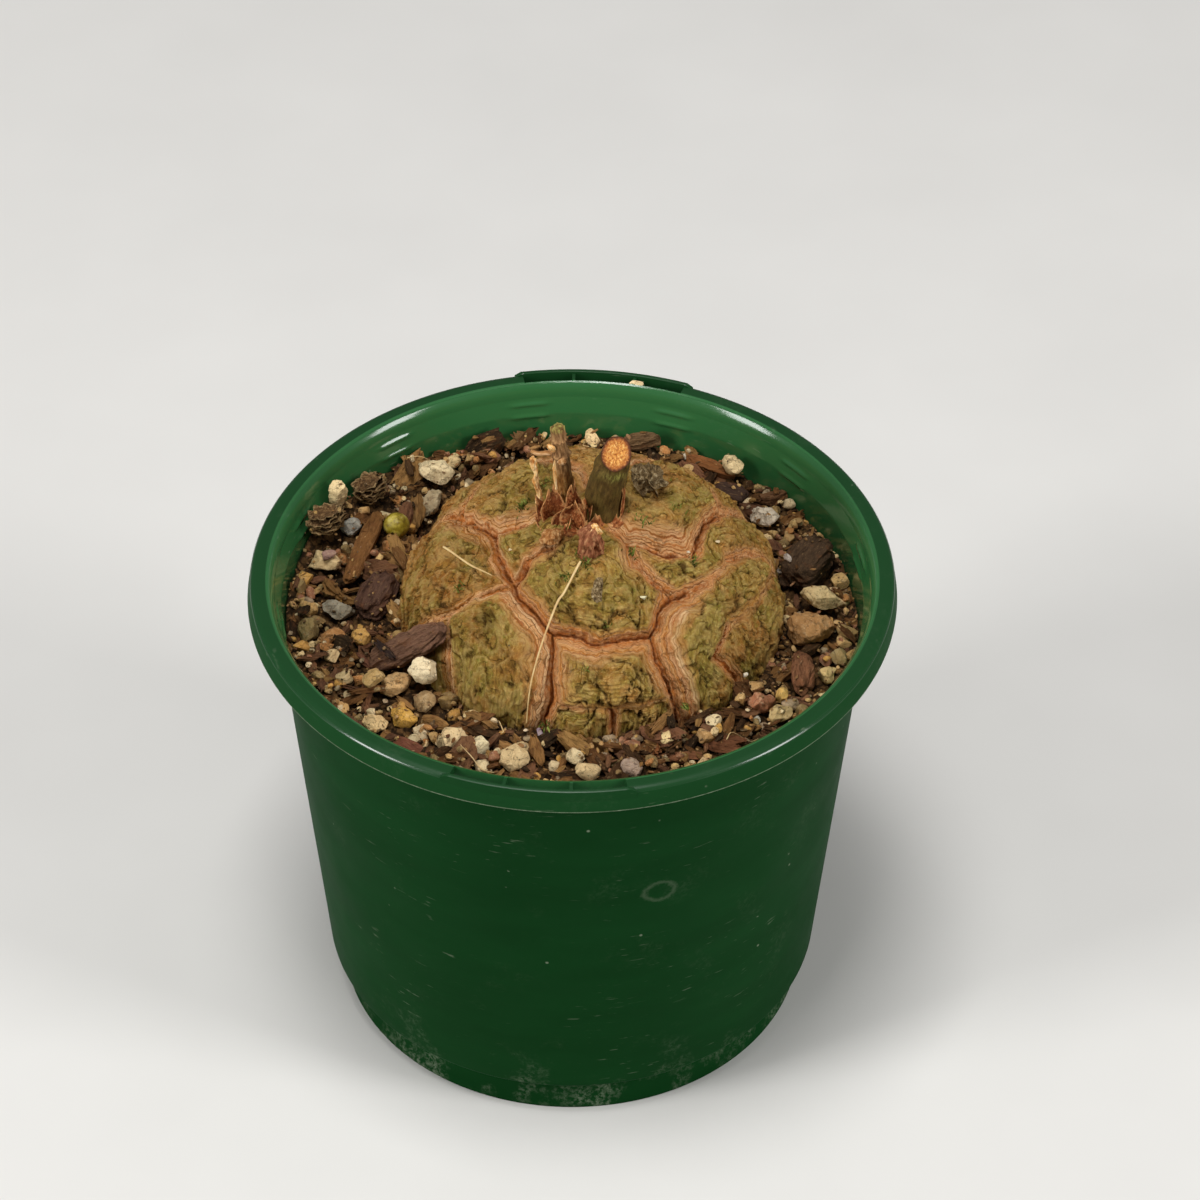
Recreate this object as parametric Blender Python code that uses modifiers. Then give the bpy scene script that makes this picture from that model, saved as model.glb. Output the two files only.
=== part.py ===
"""Potted dioscorea: a woody plated caudex with cut stem stubs, bedded in bark and gravel
in a moulded nursery pot. Lengths are in millimetres and are scaled to metres where a mesh
is made; +Z is up, and the foot of the pot rests on z = 0 with its axis on the origin."""

import itertools
import math
import random

import bmesh
import bpy
import numpy as np
from mathutils import Euler, Vector

MM = 0.001
GAP = 0.35

# Pot
POT_HEIGHT = 113.0
RIM_RADIUS = 70.0
RIM_DEPTH = 5.0
WALL_TOP = 64.0
WALL_FOOT = 55.4
WALL = 1.2
FOOT_HEIGHT = 10.4
FOOT_RADIUS = 52.4
FLOOR_UNDER = 5.5
FLOOR = 1.6
DRAIN_RADIUS, DRAIN_CIRCLE, DRAINS = 4.5, 38.0, 8
SLOT_BEARINGS = (264.0, 84.0)
SLOT_CELLS = ((-12.7, 11.0), (0.0, 13.0), (12.7, 11.0))
SLOT_WIDTH = 2.6
TAB_SPAN, TAB_RISE = 34.0, 0.5
POT_STEPS = 52

# Mix
MIX_TOP = POT_HEIGHT - 13.5
MIX_CELLS = 30

# Caudex: a half-buried dome on an ellipse of revolution
DOME_X, DOME_Y = 4.5, 3.0
DOME_RADIUS = 41.0
DOME_HEIGHT = 30.0
DOME_BURIED = 22.0
DOME_BASE = POT_HEIGHT - 14.0
DOME_CELLS = 60
DOME_EDGE = 118.0
DOME_SOIL_LINE, DOME_SHARE_ABOVE = 97.0, 0.9
FISSURE_DEPTH = 4.4
NARROWEST_SKIRT = 3.2
PLATE_BULGE = 0.7

# Junctions of the fissures: bearing from the front, turning to the right, and tilt from the top
JUNCTIONS = {
    "heart_left": (-34, 12), "heart_right": (24, 11), "heart_far_right": (165, 9),
    "heart_far_left": (-165, 10), "heart_side": (-85, 11),
    "brow_left": (-43, 38), "brow_mid": (-45, 29), "brow_in": (-36, 21),
    "chin_left": (-17, 49), "chin_mid": (2, 51), "chin_right": (23, 52),
    "brow_right": (39, 40), "notch_low": (35, 33), "notch_mid": (32, 26), "notch_top": (36, 18),
    "cheek_in": (-76, 23), "cheek_left": (-80, 33), "cheek_mid": (-64, 35),
    "cheek_out": (-91, 37), "cheek_far": (-104, 46),
    "shelf_mid": (55, 28), "shelf_end": (65, 34), "shelf_up": (96, 38), "shelf_far": (107, 46),
    "rear_right": (128, 50), "rear_mid_right": (152, 48), "rear_in_right": (165, 22),
    "rear_mid": (180, 52), "rear_mid_left": (-152, 48), "rear_in_left": (-165, 24),
    "rear_left": (-127, 50),
    "side_right": (118, 62), "side_right_foot": (120, 118), "flank_foot": (98, 118),
    "flank_low": (97, 74), "flank_high": (95, 60), "flank_in": (77, 47), "flank_mid": (59, 45),
    "flank_start": (47, 42), "ridge_a": (72, 66), "ridge_b": (53, 61), "ridge_c": (43, 68),
    "ridge_d": (49, 83), "ridge_foot": (50, 118),
    "seam_a": (24, 68), "seam_b": (26, 84), "seam_foot": (27, 118),
    "skirt_a": (25, 76), "skirt_b": (14, 77), "skirt_c": (6, 76), "skirt_d": (-4, 75),
    "split_top": (1, 66), "split_mid": (4, 71), "split_foot": (5, 118),
    "gully_a": (-14, 74), "gully_b": (-15, 84), "gully_foot": (-15, 118),
    "jaw_a": (-53, 48), "jaw_b": (-60, 60), "jaw_c": (-54, 70), "jaw_d": (-47, 86),
    "jaw_foot": (-47, 118), "temple_a": (-68, 78), "temple_foot": (-78, 118),
    "ear_a": (-112, 62), "ear_foot": (-114, 118),
    "back_foot_left": (-152, 118), "back_foot_right": (152, 118),
}

# Each plate has its bulge and a loop of junctions, with the width of its sloping skirt along
# the edge to the next junction and how deep the fissure is there (1 is full depth)
PLATES = {
    "heart": (0.0, (("heart_left", 2, 0.2), ("heart_right", 2, 0.2), ("heart_far_right", 2, 0.2),
                       ("heart_far_left", 2, 0.2), ("heart_side", 2, 0.2))),
    "front": (0.9, (("heart_left", 2, 0.3), ("brow_in", 2.6, 0.7), ("brow_mid", 3, 1),
                       ("brow_left", 3.4, 1), ("chin_left", 2.6, 1), ("chin_mid", 2.4, 1),
                       ("chin_right", 2.6, 1), ("brow_right", 2, 1), ("notch_low", 2.2, 0.9),
                       ("notch_mid", 3.4, 0.8), ("notch_top", 2.4, 0.8), ("heart_right", 2, 0.2))),
    "wedge": (0.2, (("heart_side", 2, 0.6), ("cheek_in", 2, 0.8), ("cheek_left", 1.6, 0.9),
                       ("cheek_mid", 2, 1), ("brow_left", 2.6, 1), ("brow_mid", 2.6, 0.8),
                       ("brow_in", 2, 0.6), ("heart_left", 2, 0.2))),
    "left_bump": (1.3, (("heart_side", 5, 0.6), ("cheek_in", 6, 0.9), ("cheek_left", 3, 1),
                           ("cheek_out", 3, 1), ("cheek_far", 2.4, 0.8), ("rear_left", 2.4, 0.8),
                           ("rear_mid_left", 3, 0.9), ("rear_in_left", 3, 0.6),
                           ("heart_far_left", 2, 0.2))),
    "right_shelf": (1.5, (("heart_right", 8, 0.8), ("notch_top", 8.5, 1), ("shelf_mid", 8.5, 1),
                             ("shelf_end", 4, 1), ("shelf_up", 3, 1), ("shelf_far", 2.6, 0.8),
                             ("rear_right", 2.6, 0.8), ("rear_mid_right", 3, 0.9),
                             ("rear_in_right", 3, 0.6), ("heart_far_right", 2, 0.2))),
    "rear_top": (1.1, (("heart_far_right", 3, 0.6), ("rear_in_right", 3, 1),
                          ("rear_mid_right", 4, 1), ("rear_mid", 4, 1), ("rear_mid_left", 3, 1),
                          ("rear_in_left", 3, 0.6), ("heart_far_left", 2, 0.2))),
    "right_tongue": (0.4, (("notch_top", 2.2, 1), ("shelf_mid", 2, 1), ("shelf_end", 2, 1),
                              ("shelf_up", 2.4, 1), ("shelf_far", 2.6, 0.8), ("side_right", 3, 0.8),
                              ("side_right_foot", 3, 0), ("flank_foot", 3, 0.7),
                              ("flank_low", 2.6, 0.8), ("flank_high", 2.6, 0.8),
                              ("flank_in", 2.2, 0.6), ("flank_mid", 2.4, 0.9),
                              ("flank_start", 2, 1), ("brow_right", 2.6, 0.9),
                              ("notch_low", 3, 0.8), ("notch_mid", 2.4, 0.8))),
    "right_big": (1.0, (("brow_right", 4, 1), ("flank_start", 2.4, 0.9), ("flank_mid", 2.2, 0.6),
                           ("flank_in", 2.2, 0.8), ("flank_high", 2.6, 0.8), ("flank_low", 2, 0.5),
                           ("ridge_a", 2, 0.4), ("ridge_b", 1.8, 0.7), ("ridge_c", 2, 0.8),
                           ("ridge_d", 2, 0.8), ("ridge_foot", 3, 0), ("seam_foot", 5, 1),
                           ("seam_b", 6, 1), ("seam_a", 7.4, 1), ("chin_right", 7, 1))),
    "right_low": (0.2, (("flank_low", 2, 0.5), ("ridge_a", 2, 0.4), ("ridge_b", 2, 0.7),
                           ("ridge_c", 3, 0.8), ("ridge_d", 3, 0.8), ("ridge_foot", 3, 0),
                           ("flank_foot", 3, 0.7))),
    "lower_front": (0.7, (("chin_left", 3, 1), ("chin_mid", 3.4, 1), ("chin_right", 3.2, 1),
                             ("seam_a", 2.6, 1), ("skirt_a", 1.4, 0.4), ("skirt_b", 1.4, 0.4),
                             ("skirt_c", 1.4, 0.4), ("skirt_d", 1.6, 0.6), ("gully_a", 3.2, 1))),
    "toe_left": (0.1, (("gully_a", 1.8, 0.6), ("skirt_d", 1.4, 0.4), ("skirt_c", 2, 0.9),
                          ("split_foot", 2, 0), ("gully_foot", 2.4, 0.9), ("gully_b", 2.4, 1))),
    "toe_right": (0.2, (("skirt_c", 1.4, 0.4), ("skirt_b", 1.4, 0.4), ("skirt_a", 2, 0.9),
                           ("seam_b", 2.4, 1), ("seam_foot", 2.4, 0), ("split_foot", 2, 0.9))),
    "lower_left": (0.8, (("brow_left", 6, 1), ("chin_left", 5.4, 1), ("gully_a", 5, 1),
                            ("gully_b", 4, 1), ("gully_foot", 3, 0), ("jaw_foot", 2, 0.8),
                            ("jaw_d", 1.8, 0.8), ("jaw_c", 1.6, 0.7), ("jaw_b", 1.8, 0.6),
                            ("jaw_a", 2.4, 0.9))),
    "jaw": (0.0, (("jaw_b", 2, 0.6), ("temple_a", 2.4, 0.7), ("temple_foot", 3, 0),
                     ("jaw_foot", 2.4, 0.8), ("jaw_d", 2.4, 0.8), ("jaw_c", 2, 0.7))),
    "left_big": (0.6, (("cheek_mid", 2, 1), ("cheek_left", 4, 1), ("cheek_out", 5, 1),
                          ("cheek_far", 3, 0.8), ("ear_a", 3, 0.8), ("ear_foot", 3, 0),
                          ("temple_foot", 2.4, 0.7), ("temple_a", 2.4, 0.6), ("jaw_b", 1.8, 0.6),
                          ("jaw_a", 2.4, 0.9), ("brow_left", 2.6, 1))),
    "right_rear_low": (0.6, (("shelf_far", 2.6, 0.8), ("rear_right", 3, 0.9),
                                ("rear_mid_right", 3, 0.9), ("back_foot_right", 3, 0),
                                ("side_right_foot", 3, 0.8), ("side_right", 3, 0.8))),
    "rear_low": (0.8, (("rear_mid_right", 3, 1), ("rear_mid", 3, 1), ("rear_mid_left", 3, 0.9),
                          ("back_foot_left", 3, 0), ("back_foot_right", 3, 0.9))),
    "left_rear_low": (0.6, (("cheek_far", 2.6, 0.8), ("rear_left", 3, 0.8),
                               ("rear_mid_left", 3, 0.9), ("back_foot_left", 3, 0),
                               ("ear_foot", 3, 0.8), ("ear_a", 3, 0.8))),
}

# Narrow cracks inside the plates, as runs of (bearing, tilt)
CRACKS = (
    ((-3, 65), (1, 66), (4, 71), (6, 77)),
    ((2, 60), (1, 66)),
    ((47, 42), (50, 48), (52, 51)),
    ((70, 44), (73, 52), (72, 60)),
)


def linear(hex_colour):
    """A Principled colour from an sRGB hex string."""
    values = [int(hex_colour[i:i + 2], 16) / 255 for i in (0, 2, 4)]
    return [v / 12.92 if v <= 0.04045 else ((v + 0.055) / 1.055) ** 2.4 for v in values] + [1.0]


def material(name, colour, roughness):
    made = bpy.data.materials.new(name)
    made.use_nodes = True
    shader = made.node_tree.nodes["Principled BSDF"]
    shader.inputs["Base Color"].default_value = linear(colour)
    shader.inputs["Roughness"].default_value = roughness
    shader.inputs["Metallic"].default_value = 0.0
    made.diffuse_color = linear(colour)
    return made


def lattice_noise(points, seed):
    """Smooth value noise from -1 to 1 at each row of points, one cell per unit."""
    cell = np.floor(points).astype(np.int64)
    part = points - cell
    part = part * part * (3 - 2 * part)
    total = np.zeros(len(points))
    for corner in itertools.product((0, 1), repeat=3):
        at = (cell + corner) & 0xFFFF
        key = (at[:, 0] * 7919 + at[:, 1] * 104729 + at[:, 2] * 1299709 + seed * 15485863) & 0xFFFFFFFF
        key = ((key ^ (key >> 15)) * 2246822519) & 0xFFFFFFFF
        key = ((key ^ (key >> 13)) * 3266489917) & 0xFFFFFFFF
        value = ((key ^ (key >> 16)) & 0xFFFF) / 32767.5 - 1
        total += value * np.prod(np.where(corner, part, 1 - part), axis=1)
    return total


def smooth_step(low, high, value):
    t = np.clip((value - low) / (high - low), 0, 1)
    return t * t * (3 - 2 * t)


def coords(bm):
    return np.array([v.co[:] for v in bm.verts])


def set_coords(bm, points):
    for vertex, point in zip(bm.verts, points):
        vertex.co = point


def finish(bm, name, parts, made, smooth=True):
    """The object of a bmesh in millimetres."""
    bmesh.ops.scale(bm, vec=(MM, MM, MM), verts=bm.verts)
    bmesh.ops.recalc_face_normals(bm, faces=bm.faces)
    mesh = bpy.data.meshes.new(name)
    bm.to_mesh(mesh)
    bm.free()
    if smooth:
        mesh.shade_smooth()
        mesh.set_sharp_from_angle(angle=math.radians(40))
    mesh.materials.append(made)
    thing = bpy.data.objects.new(name, mesh)
    parts.objects.link(thing)
    return thing


def cutter(thing, cutters):
    thing.hide_render = True
    thing.display_type = "WIRE"
    for old in thing.users_collection:
        old.objects.unlink(thing)
    cutters.objects.link(thing)


def boolean(thing, other, operation):
    change = thing.modifiers.new(operation.title(), "BOOLEAN")
    change.operation = operation
    change.solver = "EXACT"
    change.object = other


# ---------------------------------------------------------------- pot

def wall_radius(z):
    """Inner radius of the pot wall at a height."""
    if z > POT_HEIGHT - 7:
        return WALL_TOP - WALL + 2.4 * (z - POT_HEIGHT + 7) / 7
    return WALL_TOP - WALL - (WALL_TOP - WALL_FOOT) * (POT_HEIGHT - 7 - z) / (POT_HEIGHT - 7 - FOOT_HEIGHT)


def pot_profile():
    """From the axis above the floor, up the inner wall, over the rim and down the outside."""
    top, foot = POT_HEIGHT, FOOT_RADIUS
    floor_top = FLOOR_UNDER + FLOOR
    inner = [(0, floor_top), (foot - 3.4, floor_top), (wall_radius(11.5), 11.5),
             (wall_radius(60), 60), (wall_radius(top - 7), top - 7), (wall_radius(top - 0.2), top - 0.2)]
    rim = [(65.7, top), (68.4, top), (69.2, top - 0.5), (RIM_RADIUS, top - RIM_DEPTH),
           (RIM_RADIUS - 1.1, top - RIM_DEPTH), (RIM_RADIUS - 1.7, top - 1.5), (66.4, top - 1.5)]
    outer = [(WALL_TOP, top - 7), (WALL_FOOT, FOOT_HEIGHT), (WALL_FOOT - 1, FOOT_HEIGHT - 0.7),
             (foot - 0.9, FOOT_HEIGHT - 0.9), (foot - 0.7, 5), (foot, 0.4), (foot - 0.2, 0),
             (foot - 1.5, 0), (foot - 2.3, FLOOR_UNDER), (0, FLOOR_UNDER)]
    return inner + rim + outer


def pot(parts, cutters):
    mesh = bpy.data.meshes.new("pot")
    points = [(r * MM, 0, z * MM) for r, z in pot_profile()]
    mesh.from_pydata(points, [(i, i + 1) for i in range(len(points) - 1)], [])
    thing = bpy.data.objects.new("pot", mesh)
    parts.objects.link(thing)
    turn = thing.modifiers.new("Turn", "SCREW")
    turn.steps = turn.render_steps = POT_STEPS
    turn.use_merge_vertices = True
    turn.merge_threshold = 0.00005
    turn.use_smooth_shade = True
    mesh.materials.append(material("pot_green_plastic", "2A5A30", 0.38))
    for bearing in SLOT_BEARINGS:
        tab = rim_tab(parts, bearing)
        cutter(tab, cutters)
        boolean(thing, tab, "UNION")
    hole = slot_and_drain_cutter(parts)
    cutter(hole, cutters)
    boolean(thing, hole, "DIFFERENCE")
    return thing


def rim_tab(parts, bearing):
    """The low upright lip that backs a label slot, an arc of the rim's outer edge."""
    start = math.radians(bearing - TAB_SPAN / 2)
    low, high = POT_HEIGHT - 3, POT_HEIGHT + TAB_RISE
    section = [(RIM_RADIUS - 1.9, low), (RIM_RADIUS - 0.45, low), (RIM_RADIUS - 0.6, high),
               (RIM_RADIUS - 1.6, high)]
    bm = bmesh.new()
    corners = [bm.verts.new((r * math.cos(start), r * math.sin(start), z)) for r, z in section]
    face = bm.faces.new(corners)
    bmesh.ops.spin(bm, geom=[face, *face.edges, *corners], axis=(0, 0, 1), cent=(0, 0, 0),
                   angle=math.radians(TAB_SPAN), steps=8)
    return finish(bm, f"rim_tab_{int(bearing)}", parts, material("tab", "2A5A30", 0.38), False)


def slot_and_drain_cutter(parts):
    """Boxes for the label slots' cells and cylinders for the drain holes, clear of each other."""
    bm = bmesh.new()
    for bearing, (shift, length) in itertools.product(SLOT_BEARINGS, SLOT_CELLS):
        spin = math.radians(bearing + math.degrees(shift / (RIM_RADIUS - 3)))
        cube = bmesh.ops.create_cube(bm, size=1)["verts"]
        bmesh.ops.scale(bm, vec=(SLOT_WIDTH, length, 4), verts=cube)
        bmesh.ops.translate(bm, vec=(RIM_RADIUS - 3, 0, POT_HEIGHT), verts=cube)
        bmesh.ops.rotate(bm, cent=(0, 0, 0), matrix=Euler((0, 0, spin)).to_matrix(), verts=cube)
    for k in range(DRAINS):
        spin = math.tau * (k + 0.5) / DRAINS
        made = bmesh.ops.create_cone(bm, cap_ends=True, segments=12, radius1=DRAIN_RADIUS,
                                     radius2=DRAIN_RADIUS, depth=6)["verts"]
        centre = (DRAIN_CIRCLE * math.cos(spin), DRAIN_CIRCLE * math.sin(spin), FLOOR_UNDER + FLOOR / 2)
        bmesh.ops.translate(bm, vec=centre, verts=made)
    return finish(bm, "slot_and_drain_cutter", parts, material("cut", "101010", 0.5), False)


# ---------------------------------------------------------------- caudex

def dome(bearing, tilt, out=0.0):
    """Points of the dome, as rows, and its outward normals there; out moves along the normal."""
    a, t = np.radians(np.atleast_1d(bearing)), np.radians(np.atleast_1d(tilt))
    high = np.where(t > math.pi / 2, DOME_BURIED, DOME_HEIGHT)
    flat = np.stack([np.sin(t) * np.sin(a), -np.sin(t) * np.cos(a), np.cos(t)], axis=-1)
    size = np.stack([np.full_like(high, DOME_RADIUS), np.full_like(high, DOME_RADIUS), high], axis=-1)
    normal = flat / size
    normal /= np.linalg.norm(normal, axis=-1, keepdims=True)
    point = flat * size + (DOME_X, DOME_Y, DOME_BASE)
    return point + normal * np.reshape(out, (-1, 1)), normal


def flat_map(bearing, tilt):
    a = np.radians(bearing)
    return np.stack([tilt * np.sin(a), -tilt * np.cos(a)], axis=-1)


def map_bearing_tilt(flat):
    return np.degrees(np.arctan2(flat[:, 0], -flat[:, 1])), np.hypot(flat[:, 0], flat[:, 1])


def edge_run(start, end, step=4.0):
    """The points along one fissure edge on the dome, straight on the flat map."""
    a, b = flat_map(*map(float, start)), flat_map(*map(float, end))
    count = max(2, int(np.hypot(*(b - a)) / step) + 1)
    flat = a + (b - a) * np.linspace(0, 1, count)[:, None]
    return dome(*map_bearing_tilt(flat))[0]


def distance_to_run(points, run):
    """Shortest distance from each point to a run of straight pieces."""
    best = np.full(len(points), np.inf)
    for a, b in zip(run[:-1], run[1:]):
        along = b - a
        t = np.clip((points - a) @ along / (along @ along), 0, 1)
        best = np.minimum(best, np.linalg.norm(points - a - t[:, None] * along, axis=1))
    return best


def inside_loop(flat, loop):
    """Which points of the flat map lie inside a loop of junctions."""
    corners = [flat_map(*map(float, JUNCTIONS[name])) for name in loop]
    odd = np.zeros(len(flat), bool)
    for (ax, ay), (bx, by) in zip(corners, corners[1:] + corners[:1]):
        if ay == by:
            continue
        crosses = (ay > flat[:, 1]) != (by > flat[:, 1])
        odd ^= crosses & (flat[:, 0] < ax + (flat[:, 1] - ay) * (bx - ax) / (by - ay))
    return odd


def plate_level(points, edges):
    """0 in the fissures round a plate to 1 on its top, from the nearest edge's skirt."""
    level = np.ones(len(points))
    for (name, width, depth), (following, _, _) in zip(edges, edges[1:] + edges[:1]):
        if depth == 0:
            continue
        reach = distance_to_run(points, edge_run(JUNCTIONS[name], JUNCTIONS[following]))
        reach = np.clip(reach / max(width, NARROWEST_SKIRT), 0, 1)
        level = np.minimum(level, 1 - depth * (1 - reach))
    return level


def caudex_relief(flat):
    """How far each point of the flat map stands out from the dome."""
    bearing, tilt = map_bearing_tilt(flat)
    points, _ = dome(bearing, tilt)
    sway = np.stack([lattice_noise(points / 6, seed) for seed in (1, 2, 3)], axis=1) * 0.8
    relief = np.full(len(flat), -FISSURE_DEPTH)
    for bulge, edges in PLATES.values():
        own = inside_loop(flat, [name for name, _, _ in edges])
        if not own.any():
            continue
        level = plate_level((points + sway)[own], edges)
        height = np.sin(level * math.pi / 2) ** 0.9
        relief[own] = FISSURE_DEPTH * (height - 1) + bulge * PLATE_BULGE * smooth_step(0, 1, height)
    for crack in CRACKS:
        for start, end in zip(crack[:-1], crack[1:]):
            near = distance_to_run(points, edge_run(start, end))
            relief -= 0.9 * np.exp(-(near / 0.8) ** 2)
    relief += 0.3 * lattice_noise(points / (4, 4, 9), 5)
    return relief * (1 - smooth_step(92, 112, tilt))


def calm(flat, relief):
    """Levels the bark where a stub, knob or lump stands, so that each has a seat."""
    points, _ = dome(*map_bearing_tilt(flat))
    for x, y, reach in SEATS:
        near = np.hypot(points[:, 0] - x, points[:, 1] - y)
        relief = relief * smooth_step(reach, reach + 2.5, near) - 0.3 * (near < reach)
    return relief


def snapped(flat, cell):
    """Moves points that lie close to a fissure onto it, so that coarse faces fold there."""
    moved = flat.copy()
    best = np.full(len(flat), 0.48 * cell)
    for _, edges in PLATES.values():
        for (name, _, depth), (following, _, _) in zip(edges, edges[1:] + edges[:1]):
            a, b = (flat_map(*map(float, JUNCTIONS[key])) for key in (name, following))
            along = b - a
            t = (flat - a) @ along / (along @ along)
            foot = a + t[:, None] * along
            away = np.linalg.norm(flat - foot, axis=1)
            near = (depth > 0.3) & (t > 0.08) & (t < 0.92) & (away < best)
            moved[near], best[near] = foot[near], away[near]
    return moved


def disc_of_square(square):
    """Carries a square grid onto a disc ring by ring, with even cells."""
    x, y = square[:, 0], square[:, 1]
    wide = np.abs(x) > np.abs(y)
    radius = np.where(wide, x, y)
    ratio = np.divide(np.where(wide, y, x), radius, out=np.zeros_like(x), where=np.abs(radius) > 1e-9)
    turn = np.where(wide, ratio * math.pi / 4, math.pi / 2 - ratio * math.pi / 4)
    return np.stack([radius * np.cos(turn), radius * np.sin(turn)], axis=-1)


def close_below(bm, centre, ring=None):
    """Runs the open edge of a sheet down to a ring, if one is given, and in to one point."""
    open_edges = [e for e in bm.edges if e.is_boundary]
    if ring:
        made = bmesh.ops.extrude_edge_only(bm, edges=open_edges)["geom"]
        for vertex in (g for g in made if isinstance(g, bmesh.types.BMVert)):
            vertex.co = ring(vertex.co)
        open_edges = [g for g in made if isinstance(g, bmesh.types.BMEdge) and g.is_boundary]
    made = bmesh.ops.extrude_edge_only(bm, edges=open_edges)["geom"]
    tip = [g for g in made if isinstance(g, bmesh.types.BMVert)]
    bmesh.ops.pointmerge(bm, verts=tip, merge_co=centre)


def caudex(parts):
    bm = bmesh.new()
    bmesh.ops.create_grid(bm, x_segments=DOME_CELLS, y_segments=DOME_CELLS, size=1)
    disc = disc_of_square(coords(bm)[:, :2])
    share = np.hypot(disc[:, 0], disc[:, 1])
    tilt = np.interp(share, (0, DOME_SHARE_ABOVE, 1), (0, DOME_SOIL_LINE, DOME_EDGE))
    flat = disc * (tilt / np.maximum(share, 1e-6))[:, None]
    cell = 2 * DOME_SOIL_LINE / (DOME_SHARE_ABOVE * DOME_CELLS)
    flat = np.where((tilt > DOME_SOIL_LINE)[:, None], flat, snapped(flat, cell))
    relief = calm(flat, caudex_relief(flat))
    set_coords(bm, dome(*map_bearing_tilt(flat), relief)[0])
    low = min(v.co.z for v in bm.verts)
    close_below(bm, (DOME_X, DOME_Y, low - 2.5))
    return finish(bm, "caudex", parts, material("caudex_mossy_bark", "7A7038", 0.85))


# Where something stands on the dome: x, y and the radius of its seat
SEATS = (
    (-1.4, 5.4, 3.0), (6.4, 1.4, 4.4), (3.8, -9.6, 3.2), (-6.6, 4.6, 1.6), (-4.2, -7.4, 3.2),
    (15.4, 9.6, 4.4), (-3.4, -1.0, 2.6), (1.2, -2.6, 2.4), (5.4, -20.6, 2.2),
)


# ---------------------------------------------------------------- mix

def mix_level(x, y):
    """Height of the mix before the stones press into it: it is heaped against the wall at the left rear."""
    bearing = np.degrees(np.arctan2(y, x))
    out = np.hypot(x, y)
    heap = 4.5 * np.exp(-((bearing - 150) / 26) ** 2) * smooth_step(44, 60, out)
    back = 1.0 * np.exp(-((bearing - 90) / 40) ** 2) * smooth_step(46, 60, out)
    return MIX_TOP + heap + back


def mix_lumps(x, y):
    points = np.stack([x, y, np.zeros_like(x)], axis=-1)
    return 0.9 * lattice_noise(points / 6, 31) + 0.4 * lattice_noise(points / 3.1, 32)


def pressed(points, loose):
    """Lowers the top of the mix under everything that lies on it."""
    cell = 2 * wall_radius(MIX_TOP) / MIX_CELLS
    for thing in loose:
        corners = np.array([v.co[:] for v in thing.data.vertices]) / MM
        middles = np.array([f.center[:] for f in thing.data.polygons]) / MM
        for probe in np.concatenate([corners, middles]):
            near = np.hypot(points[:, 0] - probe[0], points[:, 1] - probe[1]) < 1.25 * cell
            points[near, 2] = np.minimum(points[near, 2], probe[2] - GAP)
    return points


def potting_mix(parts, cutters, loose):
    bm = bmesh.new()
    bmesh.ops.create_grid(bm, x_segments=MIX_CELLS, y_segments=MIX_CELLS, size=1)
    flat = disc_of_square(coords(bm)[:, :2]) * (wall_radius(MIX_TOP) - GAP)
    top = np.column_stack([flat, mix_level(*flat.T) + mix_lumps(*flat.T)])
    top = pressed(top, loose)
    out = np.hypot(top[:, 0], top[:, 1])
    room = np.array([wall_radius(z) for z in top[:, 2]]) - GAP
    top[:, :2] *= np.minimum(1, room / np.maximum(out, 1))[:, None]
    set_coords(bm, top)
    foot = FLOOR_UNDER + FLOOR + GAP
    foot_radius = FOOT_RADIUS - 3.4 - GAP

    def ring(point):
        return Vector((point.x, point.y, 0)).normalized() * foot_radius + Vector((0, 0, foot))

    close_below(bm, (0, 0, foot), ring)
    thing = finish(bm, "potting_mix", parts, material("bark_and_gravel_mix", "4A3628", 0.95))
    boolean(thing, caudex_seat(parts, cutters), "DIFFERENCE")
    return thing


def caudex_seat(parts, cutters):
    """The hollow that the caudex sits in: the dome grown by its highest bark and the gap."""
    bm = bmesh.new()
    bmesh.ops.create_icosphere(bm, subdivisions=4, radius=1)
    unit = coords(bm)
    grow = 1.6 * PLATE_BULGE + GAP + 0.4
    high = np.where(unit[:, 2] > 0, DOME_HEIGHT, DOME_BURIED)
    size = np.stack([np.full_like(high, DOME_RADIUS), np.full_like(high, DOME_RADIUS), high], axis=-1)
    set_coords(bm, unit * (size + grow) + (DOME_X, DOME_Y, DOME_BASE))
    thing = finish(bm, "caudex_seat", parts, material("seat", "101010", 0.5), False)
    cutter(thing, cutters)
    return thing


# ---------------------------------------------------------------- stones and bark

def turned(points, turn):
    """Turns rows of points by angles in degrees about X, Y and Z."""
    return points @ np.array(Euler([math.radians(a) for a in turn]).to_matrix()).T


def stone(parts, name, place, size, turn, seed, colour, flats=9, finer=False):
    """A broken or worn piece of gravel: a ball ground flat on several sides, then stretched."""
    bm = bmesh.new()
    bmesh.ops.create_icosphere(bm, subdivisions=3 if finer else 2, radius=1)
    points = coords(bm)
    chance = random.Random(seed)
    for _ in range(flats):
        side = np.array(Vector([chance.gauss(0, 1) for _ in range(3)]).normalized())
        over = np.clip(points @ side - chance.uniform(0.74, 0.95), 0, None)
        points = points - over[:, None] * side
    points = points * (1 + 0.07 * lattice_noise(points * 1.7 + seed, seed))[:, None]
    points = turned(points * size, turn) + place
    set_coords(bm, points)
    return finish(bm, name, parts, material(name, colour, 0.8))


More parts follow.
